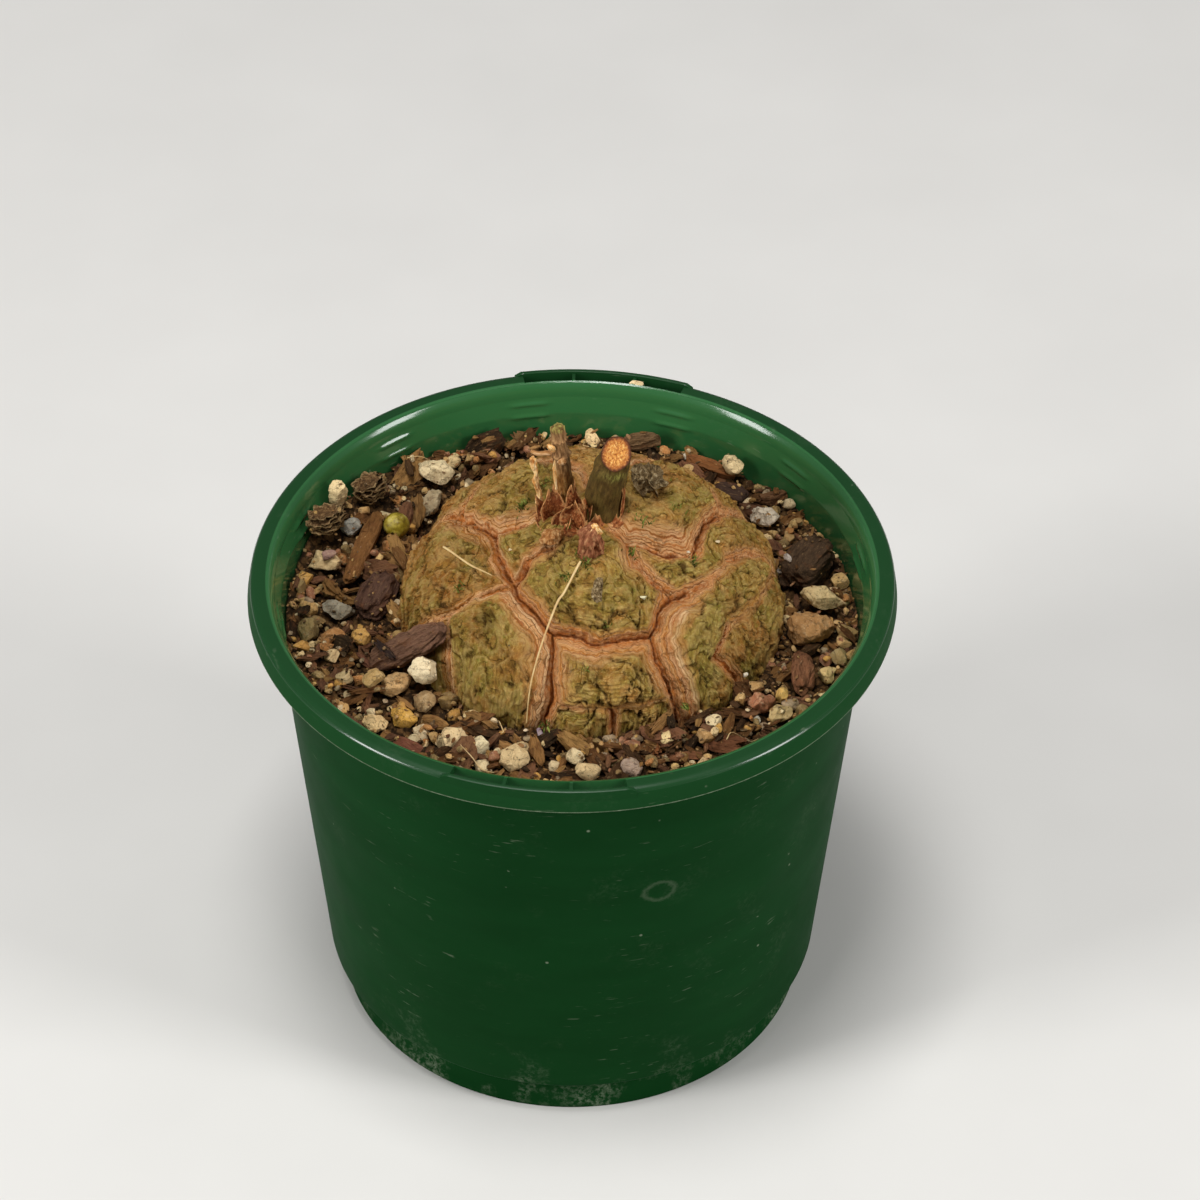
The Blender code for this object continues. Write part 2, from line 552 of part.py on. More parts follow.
def bark_chip(parts, name, place, size, turn, seed, colour, bend=0.0, taper=0.25):
    """A split piece of bark: a bevelled slab with ragged ends, layered edges and a slight bend."""
    bm = bmesh.new()
    bmesh.ops.create_cube(bm, size=2)
    bmesh.ops.subdivide_edges(bm, edges=bm.edges, cuts=2, use_grid_fill=True)
    points = coords(bm)
    length, width, thick = points.T
    slim = 1 - taper * np.abs(length) ** 2 - 0.12 * thick ** 2
    rough = np.stack([lattice_noise(points * 1.9 + seed, seed + k) for k in range(3)], axis=1)
    ragged = 0.22 * lattice_noise(points * (0.4, 2.3, 2.3) + seed, seed + 7) * np.sign(length)
    shaped = np.stack([length * (1 - 0.15 * width ** 2) + ragged * np.abs(length),
                       width * slim, thick * (1 - 0.3 * length ** 2) + bend * length ** 2], axis=1)
    points = turned((shaped + 0.12 * rough) * size, turn) + place
    set_coords(bm, points)
    return finish(bm, name, parts, material(name, colour, 0.9))


def at_mix(x, y, up):
    """A place whose height is counted from the mix there."""
    return (x, y, float(mix_level(np.array(x), np.array(y))) + up)


# Name, x, y, height of the middle over the mix, half sizes, turn, seed, colour
STONES = (
    ("stone_cream_oval", -30.5, 44.5, 2.9, (4.4, 3.2, 2.8), (0, 8, 4), 3, "E6D6AE"),
    ("stone_oblong_grey_cream", -32.0, 36.2, 1.6, (4.1, 2.2, 2.2), (0, -8, 56), 11, "B9A884"),
    ("stone_upright_cream", -51.6, 30.6, 4.6, (2.3, 2.3, 3.6), (0, 12, 20), 5, "EADBB6"),
    ("stone_grey_rear", -48.9, 25.6, 0.7, (2.6, 1.9, 1.8), (0, 0, 15), 7, "A8A59C"),
    ("stone_cream_long", -54.2, 14.4, 0.9, (3.9, 2.4, 2.3), (0, 6, -12), 13, "E2CD9B"),
    ("stone_pale_chunk", -31.8, -22.6, 5.0, (3.4, 3.0, 3.1), (10, 0, 30), 17, "EBDDB8"),
    ("stone_tan_wedge", -37.8, -22.8, 1.0, (3.9, 2.4, 2.3), (0, -12, 36), 19, "CBA878"),
    ("stone_grey_angular", -50.9, 1.0, 1.0, (3.6, 2.6, 2.0), (0, 8, -14), 23, "8F8D86"),
    ("stone_orange_left", -51.8, -7.2, 0.9, (2.9, 2.1, 1.9), (0, 0, 10), 29, "B98A58"),
    ("stone_orange_round", -45.6, -7.9, 1.1, (2.3, 2.2, 2.2), (0, 0, 0), 31, "C79A57"),
    ("stone_olive", -57.2, -5.8, 0.9, (2.5, 3.6, 2.9), (0, 0, -8), 37, "77694A"),
    ("stone_brown_round", -31.2, -28.6, 1.2, (2.7, 2.6, 2.7), (0, 0, 20), 41, "9A805A"),
    ("stone_ochre", -35.6, -33.4, 1.1, (3.3, 2.5, 2.4), (0, 10, -8), 43, "C79B4C"),
    ("stone_cream_flat", -41.6, -35.2, 1.0, (3.2, 2.0, 2.0), (0, 0, -22), 47, "DCC79A"),
    ("stone_cream_cube", -25.2, -40.4, 1.8, (3.5, 3.2, 3.3), (0, 0, 12), 53, "E6D6B0"),
    ("stone_pale_small", -19.2, -42.4, 1.0, (2.0, 2.2, 2.5), (0, 0, 0), 59, "E9DDBE"),
    ("stone_cream_front", -12.4, -46.6, 1.4, (3.7, 3.0, 3.0), (0, 12, 8), 61, "DCC897"),
    ("stone_front_pair_a", 0.6, -45.4, 1.4, (2.0, 1.8, 2.0), (0, 0, 30), 67, "DDCBA4"),
    ("stone_front_pair_b", 3.4, -49.6, 1.4, (3.0, 1.9, 1.9), (0, 14, -16), 71, "E0CBA0"),
    ("stone_mauve_wedge", 12.4, -48.6, 1.2, (2.5, 2.2, 2.4), (0, 0, 0), 73, "A89488"),
    ("stone_cream_rear", 36.0, 46.4, 5.0, (2.7, 2.2, 2.7), (0, -10, -35), 79, "E8D8B0"),
    ("stone_grey_mauve", 42.6, 31.8, 2.0, (4.0, 2.8, 2.3), (0, 12, -38), 83, "9D8B87"),
    ("stone_cream_tan_flat", 54.0, 3.6, 3.2, (4.8, 3.0, 2.1), (0, 8, -16), 89, "D6C08F"),
    ("stone_rough_brown", 51.4, -7.2, 2.2, (5.3, 4.3, 4.0), (0, 0, -30), 97, "A07C54"),
    ("stone_olive_right", 57.0, -13.6, 1.0, (2.1, 2.6, 2.3), (0, 0, 0), 101, "84754E"),
    ("stone_cream_right", 54.6, -19.4, 1.0, (2.2, 2.2, 2.1), (0, 0, 25), 103, "D9C48F"),
    ("stone_pink", 40.0, -28.6, 1.6, (2.9, 2.3, 2.3), (0, 0, 20), 107, "AF7058"),
    ("stone_yellow", 44.6, -26.2, 1.0, (1.5, 2.0, 1.8), (0, 0, 10), 109, "D2BA72"),
    ("stone_olive_cream", 44.2, -31.6, 1.0, (3.0, 2.0, 1.9), (0, 0, 30), 113, "B3A576"),
)

# Name, x, y, height over the mix, half sizes, turn, seed, colour, bend
BARK = (
    ("cone_scales_left", -53.6, 22.6, 4.0, (4.3, 2.9, 2.2), (8, -10, 20), 2, "5A4230", 0.1),
    ("cone_scales_right", -44.4, 35.6, 2.2, (4.0, 2.6, 2.2), (0, -14, 30), 4, "6B4E36", 0.1),
    ("stick_brown", -45.9, 19.6, 2.4, (10.6, 2.0, 1.3), (4, -4, 74), 6, "6A4A2A", 0.0),
    ("bark_split_chunk", -42.6, 5.4, 1.6, (5.6, 3.6, 2.8), (0, -8, 66), 8, "4A342A", 0.0),
    ("bark_long_purple", -35.2, -17.4, 7.4, (9.4, 3.0, 1.6), (40, -39, -14), 10, "5E463E", 0.1),
    ("bark_red_front", -33.2, -43.0, 0.7, (4.6, 1.8, 1.1), (0, 0, -38), 12, "7A4636", 0.0),
    ("bark_root_like", 31.0, 49.2, 1.0, (5.6, 1.6, 1.3), (0, 6, -26), 14, "8A5A38", 0.2),
    ("bark_flat_dark", 35.4, 41.4, 0.6, (3.6, 2.7, 1.1), (6, 0, -30), 16, "42302A", 0.0),
    ("bark_nugget_dark", 51.4, 14.5, 3.0, (6.2, 4.4, 3.9), (0, 0, 62), 18, "3E322C", 0.0),
    ("bark_red_right", 49.2, -19.6, 1.6, (5.2, 2.4, 1.9), (0, 0, 88), 20, "6E3E2E", 0.0),
    ("bark_flake_rear", 15.4, 57.0, 2.0, (4.2, 1.3, 2.2), (16, -22, -12), 22, "6A543A", 0.0),
)


# ---------------------------------------------------------------- stubs and litter

def limb(parts, name, path, radii, made, sides=4):
    """A round piece along a path with its own radius at each point, closed at both ends."""
    curve = bpy.data.curves.new(name, "CURVE")
    curve.dimensions = "3D"
    spline = curve.splines.new("POLY")
    spline.points.add(len(path) - 1)
    for point, place, radius in zip(spline.points, path, radii):
        point.co = (*[c * MM for c in place], 1)
        point.radius = radius
    curve.bevel_depth = MM
    curve.bevel_resolution = sides
    curve.use_fill_caps = True
    guide = bpy.data.objects.new(name, curve)
    parts.objects.link(guide)
    mesh = bpy.data.meshes.new_from_object(guide.evaluated_get(bpy.context.evaluated_depsgraph_get()))
    bpy.data.objects.remove(guide)
    bm = bmesh.new()
    bm.from_mesh(mesh)
    bpy.data.meshes.remove(mesh)
    bmesh.ops.remove_doubles(bm, verts=bm.verts, dist=0.002 * MM)
    bmesh.ops.scale(bm, vec=(1 / MM, 1 / MM, 1 / MM), verts=bm.verts)
    return finish(bm, name, parts, made)


def on_dome(x, y, out):
    """The point of the dome over (x, y), moved out along its normal, and the normal."""
    run = math.hypot(x - DOME_X, y - DOME_Y)
    tilt = math.degrees(math.asin(run / DOME_RADIUS))
    bearing = math.degrees(math.atan2(x - DOME_X, -(y - DOME_Y)))
    point, normal = dome(bearing, tilt, out)
    return Vector(point[0]), Vector(normal[0])


def rising_path(x, y, rises, leans, clear=GAP):
    """A path that leaves the dome at (x, y) squarely: heights along the normal, and side moves."""
    seat, normal = on_dome(x, y, clear)
    return [seat + normal * rise + Vector((dx, dy, 0)) for rise, (dx, dy) in zip(rises, leans)]


def main_stem_stub(parts, cutters):
    made = material("stem_grey_brown", "7A6244", 0.75)
    rises = (0, 1.1, 3.6, 7, 9.6, 11.2, 11.9, 12.8, 15.2, 15.7, 16.4, 18.4, 19)
    leans = [(0.01 * r, 0.0) for r in rises]
    radii = (2.5, 2.2, 2.05, 1.95, 1.85, 1.8, 2.15, 1.75, 1.6, 1.8, 1.6, 1.65, 1.4)
    stub = limb(parts, "main_stem_stub", rising_path(-1.4, 5.4, rises, leans), radii, made)
    root, _ = on_dome(-1.4, 5.4, 12.2)
    root += Vector((0.1, 0, 0))
    twig = [root + Vector(v) for v in ((-1.2, 0, 0), (-3, -0.3, 0.4), (-4.6, -0.4, 0.3), (-6.2, -0.2, 0.9))]
    side = limb(parts, "side_twig", twig, (0.75, 0.6, 0.55, 0.4), made, 2)
    bud = limb(parts, "side_bud", [root + Vector(v) for v in ((0.3, -1.0, -0.6), (0.5, -2.1, -0.2))],
               (0.9, 0.75), made, 2)
    for extra in (side, bud):
        cutter(extra, cutters)
        boolean(stub, extra, "UNION")
    return stub


def thick_cut_stub(parts, cutters):
    """The stoutest stub, sawn off on a slant that faces forward and up."""
    made = material("stub_olive_bark", "6B5F38", 0.8)
    rises = (0, 2, 5, 9, 12, 14, 18, 24)
    leans = [(0.15 * r, 0.03 * r) for r in rises]
    radii = (4.0, 3.7, 3.5, 3.3, 3.15, 3.1, 3.1, 3.1)
    path = rising_path(6.4, 1.4, rises, leans, 2 * GAP)
    stub = limb(parts, "thick_cut_stub", path, radii, made, 5)
    stub.data.materials.append(material("stub_cut_wood", "D9963F", 0.7))
    bm = bmesh.new()
    bm.from_mesh(stub.data)
    middle, _ = on_dome(6.4, 1.4, 15.6)
    middle += Vector((2.3, 0.5, 0))
    facing = Vector((0.12, -0.62, 0.78)).normalized()
    made = bmesh.ops.bisect_plane(bm, geom=[*bm.verts, *bm.edges, *bm.faces], plane_co=middle * MM,
                                  plane_no=facing, clear_outer=True)["geom_cut"]
    edges = [g for g in made if isinstance(g, bmesh.types.BMEdge)]
    for face in bmesh.ops.contextual_create(bm, geom=edges)["faces"]:
        face.material_index = 1
    bmesh.ops.recalc_face_normals(bm, faces=bm.faces)
    bm.to_mesh(stub.data)
    bm.free()
    return stub


def short_stem_stub(parts):
    made = material("stub_pinkish_brown", "86644A", 0.8)
    rises = (0, 1.5, 3.5, 5.6, 6.6, 7.4)
    leans = [(0.05 * r, 0.1 * r) for r in rises]
    return limb(parts, "short_stem_stub", rising_path(3.8, -9.6, rises, leans),
                (2.6, 2.4, 2.3, 2.0, 1.5, 0.8), made)


def split_stem_sliver(parts):
    made = material("split_pale_wood", "D8A56A", 0.7)
    rises = (0, 3, 6, 9, 12, 13.2)
    leans = ((0, 0), (0.3, 0), (0.4, 0), (0.9, 0), (1.0, 0), (1.3, 0))
    return limb(parts, "split_stem_sliver", rising_path(-6.9, 4.4, rises, leans),
                (0.7, 0.65, 0.6, 0.55, 0.5, 0.3), made, 2)


def lump(parts, name, x, y, size, turn, seed, colour, finer=False):
    """A knobbly body that sits on the dome: its lowest point clears the bark by the gap."""
    bm = bmesh.new()
    bmesh.ops.create_icosphere(bm, subdivisions=3 if finer else 2, radius=1)
    points = coords(bm)
    points = points * (1 + 0.22 * lattice_noise(points * 2.3 + seed, seed))[:, None]
    seat, normal = on_dome(x, y, 0)
    points = turned(points * size, turn)
    lowest = (points @ np.array(normal)).min()
    points = points + np.array(seat + normal * (GAP + 0.1 - lowest))
    under = (points - np.array(seat)) @ np.array(normal)
    points = points + np.array(normal) * np.clip(GAP + 0.5 - under, 0, None)[:, None] * 0.4
    set_coords(bm, points)
    return finish(bm, name, parts, material(name, colour, 0.9))


def bract(parts, name, x, y, width, height, face, curl, colour):
    """A papery scale: a pointed sheet that curls about its length, given a thickness."""
    bm = bmesh.new()
    bmesh.ops.create_grid(bm, x_segments=4, y_segments=5, size=1)
    across, along, _ = coords(bm).T
    up = (along + 1) / 2
    half = width / 2 * (1 - 0.86 * up ** 1.6) * (0.8 + 0.5 * up * (1 - up))
    local = np.stack([across * half, -curl * (across ** 2) * width * 0.3 + curl * 1.6 * up ** 2,
                      up * height], axis=1)
    seat, _ = on_dome(x, y, GAP + 0.3)
    set_coords(bm, turned(local, (0, 0, face)) + np.array(seat))
    sheet = finish(bm, name, parts, material(name, colour, 0.7))
    thick = sheet.modifiers.new("Thickness", "SOLIDIFY")
    thick.thickness = 0.45 * MM
    thick.offset = 0
    return sheet


def blade(parts, name, stops, colour):
    """A dry blade of grass that lies over the plates."""
    flat = np.array([flat_map(float(a), float(t)) for a, t, _ in stops])
    lift = np.array([stop[2] for stop in stops])
    steps = np.linspace(0, len(stops) - 1, 14)
    where = np.stack([np.interp(steps, range(len(stops)), flat[:, k]) for k in (0, 1)], axis=1)
    points, _ = dome(*map_bearing_tilt(where), np.interp(steps, range(len(stops)), lift))
    radii = 0.32 * (1 - 0.5 * np.linspace(0, 1, 14) ** 2)
    return limb(parts, name, [Vector(p) for p in points], radii, material(name, colour, 0.6), 1)


def litter(parts):
    lump(parts, "broken_knob", -4.2, -7.4, (2.6, 2.0, 1.6), (0, 0, 20), 5, "B98A72")
    lump(parts, "dried_debris", 15.4, 9.6, (3.9, 3.0, 2.7), (0, 0, -20), 9, "4A4238", True)
    bract(parts, "bract_left", -4.2, -0.8, 5.4, 7.5, 12, 0.6, "8A5A34")
    bract(parts, "bract_middle", 0.2, -3.6, 5.6, 6.4, -10, 0.5, "9A6238")
    bract(parts, "bract_right", 0.2, -0.2, 4.0, 8.0, 22, 0.5, "7C4E2E")
    blade(parts, "grass_blade_short", ((-81, 48, 3.2), (-66, 43, 1.8), (-51, 40, 2.6)), "D8C690")
    blade(parts, "grass_blade_long", ((-9, 25, 2.6), (-14, 35, 1.8), (-21, 45, 2.2), (-20, 66, 2.4),
                                      (-19, 82, 2.8)), "D2B678")
    lump(parts, "lilac_chip", 5.4, -20.6, (1.8, 1.1, 0.8), (0, 20, 60), 21, "8C8088")


def prill(parts):
    bm = bmesh.new()
    bmesh.ops.create_uvsphere(bm, u_segments=12, v_segments=8, radius=2.9)
    bmesh.ops.translate(bm, vec=at_mix(-38.9, 26.4, 3.4), verts=bm.verts)
    return finish(bm, "prill", parts, material("prill_olive_yellow", "A39A3C", 0.5))


def main():
    for old in list(bpy.data.objects):
        bpy.data.objects.remove(old)
    parts = bpy.data.collections.new("potted_dioscorea")
    cutters = bpy.data.collections.new("cutters")
    for group in (parts, cutters):
        bpy.context.scene.collection.children.link(group)
    cutters.hide_render = True
    loose = [stone(parts, name, at_mix(x, y, up), size, turn, seed, colour)
             for name, x, y, up, size, turn, seed, colour in STONES]
    loose += [bark_chip(parts, name, at_mix(x, y, up), size, turn, seed, colour, bend)
              for name, x, y, up, size, turn, seed, colour, bend in BARK]
    loose.append(prill(parts))
    potting_mix(parts, cutters, loose)
    pot(parts, cutters)
    caudex(parts)
    main_stem_stub(parts, cutters)
    thick_cut_stub(parts, cutters)
    short_stem_stub(parts)
    split_stem_sliver(parts)
    litter(parts)


main()
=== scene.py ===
"""Looks of the potted dioscorea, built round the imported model: corky caudex plates with their
layered sides, cut stubs and papery bracts, loose gravel and pine bark, and the moulded pot.
Lengths are in millimetres and are scaled to metres where a mesh is made."""

import itertools
import math
import random

import bmesh
import bpy
import numpy as np
from mathutils import Euler, Matrix, Vector


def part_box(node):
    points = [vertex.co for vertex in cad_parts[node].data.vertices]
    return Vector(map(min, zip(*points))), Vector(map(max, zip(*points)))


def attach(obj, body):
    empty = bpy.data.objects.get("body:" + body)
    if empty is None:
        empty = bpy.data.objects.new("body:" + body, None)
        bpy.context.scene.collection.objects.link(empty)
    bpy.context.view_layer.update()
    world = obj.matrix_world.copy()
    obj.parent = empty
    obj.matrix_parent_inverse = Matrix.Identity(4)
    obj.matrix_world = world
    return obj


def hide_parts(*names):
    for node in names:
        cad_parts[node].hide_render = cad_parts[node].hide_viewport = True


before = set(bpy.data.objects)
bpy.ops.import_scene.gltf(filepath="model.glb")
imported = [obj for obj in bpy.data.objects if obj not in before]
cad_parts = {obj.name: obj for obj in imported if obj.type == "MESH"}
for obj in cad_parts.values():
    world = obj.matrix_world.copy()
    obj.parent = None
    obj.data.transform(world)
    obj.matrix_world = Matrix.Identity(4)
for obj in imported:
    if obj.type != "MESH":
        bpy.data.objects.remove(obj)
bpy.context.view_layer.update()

MM = 0.001

# Pot, as packed
POT_HEIGHT = 113.0
RIM_RADIUS = 70.0
WALL_TOP, WALL_FOOT = 64.0, 55.4
WALL, FLARE = 1.2, 7.0
FOOT_HEIGHT, FOOT_RADIUS = 10.4, 52.4
FLOOR_UNDER, FLOOR = 5.5, 1.6
SLOT_BEARINGS = (264.0, 84.0)
SLOT_CELLS = ((-12.7, 11.0), (0.0, 13.0), (12.7, 11.0))
POT_SEGMENTS, PROFILE_STEP, OUT_OF_ROUND = 300, 4.0, 0.10
DRAIN_HOLES, DRAIN_CIRCLE, DRAIN_RADIUS = 8, 38.0, 4.5
# Pairs of lugs inside: their drop below the rim, how far they stand in, how wide they are, and
# the mesh rows across them
LUG_PAIRS, LUG_DROPS = 12, (4.6, 7.4)
LUG_RISE, LUG_WIDTH, LUG_ROWS = 0.32, 0.42, 0.28

# Caudex: a half-buried dome on an ellipse of revolution
DOME_X, DOME_Y, DOME_BASE = 4.5, 3.0, 99.0
DOME_RADIUS, DOME_HEIGHT, DOME_BURIED = 41.0, 30.0, 22.0
DOME_CELLS = 302
DOME_SOIL_LINE, DOME_EDGE = 97.0, 118.0
DOME_SHARE_ABOVE = 0.94
FISSURE_DEPTH = 2.2
PLATE_BULGE = 0.7
LAYER = 0.9
WORN_STEP = 0.55

# Potting mix, hollowed out under the caudex
MIX_TOP = 99.5
HOLLOW_RADIUS, HOLLOW_FLOOR = 35.5, 84.0
MIX_RADIUS, SCATTER_RADIUS = 62.6, 63.0
MIX_SEGMENTS, MIX_RINGS = 440, 58

# Where the stubs and the dried debris stand on the dome
MAIN_STEM, SAWN_STUB, SHORT_STEM, DEBRIS = (-1.4, 5.4), (6.4, 1.4), (3.8, -9.6), (15.4, 9.6)


# ---------------------------------------------------------------- numbers

def linear(hex_colour):
    """A shader colour from an sRGB hex string."""
    values = [int(hex_colour[i:i + 2], 16) / 255 for i in (0, 2, 4)]
    return [v / 12.92 if v <= 0.04045 else ((v + 0.055) / 1.055) ** 2.4 for v in values] + [1.0]


def cell_number(cell, seed):
    """A number from -1 to 1 for each row of whole numbers, always the same one."""
    key = ((cell & 0xFFFF) @ np.array((7919, 104729, 1299709)) + seed * 15485863) & 0xFFFFFFFF
    key = ((key ^ (key >> 15)) * 2246822519) & 0xFFFFFFFF
    key = ((key ^ (key >> 13)) * 3266489917) & 0xFFFFFFFF
    return ((key ^ (key >> 16)) & 0xFFFF) / 32767.5 - 1


def lattice_noise(points, seed):
    """Smooth value noise from -1 to 1 at each row of points, one cell per unit."""
    cell = np.floor(points).astype(np.int64)
    part = points - cell
    part = part * part * (3 - 2 * part)
    return sum(cell_number(cell + corner, seed) * np.prod(np.where(corner, part, 1 - part), axis=1)
               for corner in itertools.product((0, 1), repeat=3))


def rough(points, size, seed, octaves=3, keep=0.5):
    """Noise of several octaves, whose largest lumps are size across; size may differ by axis."""
    size = np.array(size, float)
    return sum(keep ** k * lattice_noise(points * 2 ** k / size, seed + 11 * k) for k in range(octaves))


def wobble(points, size, seeds, octaves=3, keep=0.5):
    """Noise of its own along each axis, with a seed for each."""
    return np.stack([rough(points, size, seed, octaves, keep) for seed in seeds], axis=1)


def ridges(points, size, seed):
    """1 on thin winding lines, falling to -1 between them."""
    return 1 - 2 * np.minimum(1, 2.2 * np.abs(lattice_noise(points / np.array(size, float), seed)))


def flakes(points, size, seed):
    """Breaks the points up into tilted flakes about size across: the height of each point's flake
    there from -1 to 1, the flake's own number, and how far its edge is in shares of size."""
    at = points / np.array(size, float)
    cell = np.floor(at).astype(np.int64)
    near, beyond = np.full((2, len(at)), 9.0)
    own, way = np.zeros_like(cell), np.zeros_like(at)
    for step in itertools.product((-1, 0, 1), repeat=3):
        other = cell + step
        toward = at - other - 0.5 - 0.45 * np.stack([cell_number(other, seed + k) for k in range(3)], axis=1)
        away = np.linalg.norm(toward, axis=1)
        first = away < near
        beyond = np.where(first, near, np.minimum(beyond, away))
        near = np.where(first, away, near)
        own[first], way[first] = other[first], toward[first]
    number = cell_number(own, seed + 3)
    tilt = np.stack([cell_number(own, seed + k) for k in (4, 5, 6)], axis=1)
    return 0.5 * number + (way * tilt).sum(axis=1), number, beyond - near


def smooth_step(low, high, value):
    """0 up to low, 1 from high on, and eased between."""
    t = np.clip((value - low) / (high - low), 0, 1)
    return t * t * (3 - 2 * t)


def turned(points, turn):
    """Turns rows of points by angles in degrees about X, Y and Z."""
    return points @ np.array(Euler([math.radians(a) for a in turn]).to_matrix()).T


def unit(rows):
    return rows / np.maximum(np.linalg.norm(rows, axis=-1, keepdims=True), 1e-9)


def any_way(chance):
    """A direction at random."""
    return np.array(Vector([chance.gauss(0, 1) for _ in range(3)]).normalized())


def circle(count):
    """Even angles round a full turn, and the points of the unit circle there."""
    turn = np.linspace(0, math.tau, count, endpoint=False)
    return turn, np.stack([np.cos(turn), np.sin(turn)], axis=1)


# ---------------------------------------------------------------- meshes

def placed(name, data):
    """A new object of the scene."""
    thing = bpy.data.objects.new(name, data)
    bpy.context.scene.collection.objects.link(thing)
    return thing


def mesh_of(name, points, faces):
    """A mesh from points in millimetres."""
    mesh = bpy.data.meshes.new(name)
    mesh.from_pydata((np.asarray(points) * MM).tolist(), [], [[*map(int, face)] for face in faces])
    return mesh


def piece(name, points, faces, made, slot, nodes=(), sharp=50, **values):
    """One piece of the object, riding on its body. Values are numbers, vectors or colours at
    each point, which the material reads by name."""
    mesh = mesh_of(name, points, faces)
    kinds = {1: ("FLOAT", "value"), 3: ("FLOAT_VECTOR", "vector"), 4: ("FLOAT_COLOR", "color")}
    for key, rows in values.items():
        rows = np.asarray(rows, np.float32)
        kind, field = kinds[rows.shape[1] if rows.ndim > 1 else 1]
        mesh.attributes.new(key, kind, "POINT").data.foreach_set(field, rows.ravel())
    mesh.shade_smooth()
    mesh.set_sharp_from_angle(angle=math.radians(sharp))
    for one in made if isinstance(made, list) else [made]:
        mesh.materials.append(one)
    thing = placed(name, mesh)
    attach(thing, "root")
    if nodes:
        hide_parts(*nodes)
    return thing


def grid_faces(rows, columns, wrap=False):
    """Quads of a grid of points, row by row; wrap closes each row on itself."""
    row, column = np.meshgrid(np.arange(rows - 1), np.arange(columns - (not wrap)), indexing="ij")
    a = (row * columns + column).ravel()
    b = (row * columns + (column + 1) % columns).ravel()
    return np.stack([a, b, b + columns, a + columns], axis=1)


def fan(ring, tip):
    """Triangles from a closed ring of point numbers to one more point."""
    return [(a, b, tip) for a, b in zip(ring, np.roll(ring, -1))]


def closed_rows(rows, around):
    """Faces of a body of rings, closed by the two points that follow them: one before the first
    ring and one after the last."""
    first, count = np.arange(around), rows * around
    return [*grid_faces(rows, around, True), *(face[::-1] for face in fan(first, count)),
            *fan(first + count - around, count + 1)]


def normals_of(points, faces):
    """Outward direction at each point, from the quads or triangles round it."""
    total = np.zeros_like(points)
    faces = np.asarray(faces)
    across = points[faces[:, 2]] - points[faces[:, 0]]
    normal = np.cross(across, points[faces[:, -1]] - points[faces[:, 1]])
    for k in range(faces.shape[1]):
        np.add.at(total, faces[:, k], normal)
    return unit(total)


def packed_box(node):
    """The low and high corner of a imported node, in millimetres."""
    return (np.array(corner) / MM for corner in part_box(node))


def refined(node, levels):
    """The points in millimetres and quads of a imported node, welded and smoothed."""
    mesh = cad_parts[node].data.copy()
    thing = placed("rounding", mesh)
    weld = thing.modifiers.new("Weld", "WELD")
    weld.merge_threshold = 0.002 * MM
    smooth = thing.modifiers.new("Smooth", "SUBSURF")
    smooth.levels = smooth.render_levels = levels
    rounded = thing.evaluated_get(bpy.context.evaluated_depsgraph_get()).to_mesh()
    points = np.empty(len(rounded.vertices) * 3)
    rounded.vertices.foreach_get("co", points)
    faces = np.empty(len(rounded.loops), int)
    rounded.loops.foreach_get("vertex_index", faces)
    bpy.data.objects.remove(thing)
    bpy.data.meshes.remove(mesh)
    points = points.reshape(-1, 3) / MM
    low, high = packed_box(node)
    span = points.max(0) - points.min(0)
    middle = (points.max(0) + points.min(0)) / 2
    return (points - middle) * (high - low) / span + (low + high) / 2, faces.reshape(-1, 4)


def raised(points, faces, relief):
    """The points moved out along their normals."""
    return points + normals_of(points, faces) * relief[:, None]


def own_axes(points):
    """Coordinates along a body's own length, width and thickness, from its middle."""
    centred = points - points.mean(0)
    _, axes = np.linalg.eigh(centred.T @ centred)
    return centred @ axes[:, ::-1], axes[:, ::-1]


def smooth_run(stops, count):
    """Points at even steps of a Catmull-Rom curve through the stops, rows of any width."""
    stops = np.asarray(stops, float)
    padded = np.concatenate([2 * stops[:1] - stops[1:2], stops, 2 * stops[-1:] - stops[-2:-1]])
    where = np.linspace(0, len(stops) - 1, count)
    k = np.minimum(where.astype(int), len(stops) - 2)
    t = (where - k)[:, None]
    a, b, c, d = (padded[k + j] for j in range(4))
    return 0.5 * (2 * b + (c - a) * t + (2 * a - 5 * b + 4 * c - d) * t ** 2
                  + (3 * b - a - 3 * c + d) * t ** 3)


def tube(stops, radii, rings=40, around=24, flat=1.0, seed=0, bumps=0.0, grain=(0.8, 3.0)):
    """A round or flattened limb through the stops: points, faces and lie, which is the place
    round and along it in millimetres."""
    run = smooth_run(np.column_stack([stops, radii]), rings)
    path, radius = run[:, :3], np.maximum(run[:, 3], 0.02)
    heading = unit(np.gradient(path, axis=0))
    side = np.cross(heading[0], (0.0, 0.0, 1.0) if abs(heading[0][2]) < 0.8 else (0.0, 1.0, 0.0))
    sides = []
    for along in heading:
        side = unit(side - along * (side @ along))
        sides.append(side)
    rise = np.cross(heading, sides)
    length = np.concatenate([[0], np.cumsum(np.linalg.norm(np.diff(path, axis=0), axis=1))])
    ring = np.tile(circle(around)[1], (rings, 1))
    local = np.column_stack([ring * np.repeat(radius, around)[:, None], np.repeat(length, around)])
    swell = 1 + bumps * rough(local, (grain[0], grain[0], grain[1]), seed + 5)
    out = np.repeat(sides, around, 0) * local[:, :1] + np.repeat(rise, around, 0) * local[:, 1:2] * flat
    points = np.repeat(path, around, 0) + out * swell[:, None]
    points = np.concatenate([points, path[:1], path[-1:]])
    return points, closed_rows(rings, around), np.concatenate([local, [[0, 0, 0], [0, 0, length[-1]]]])


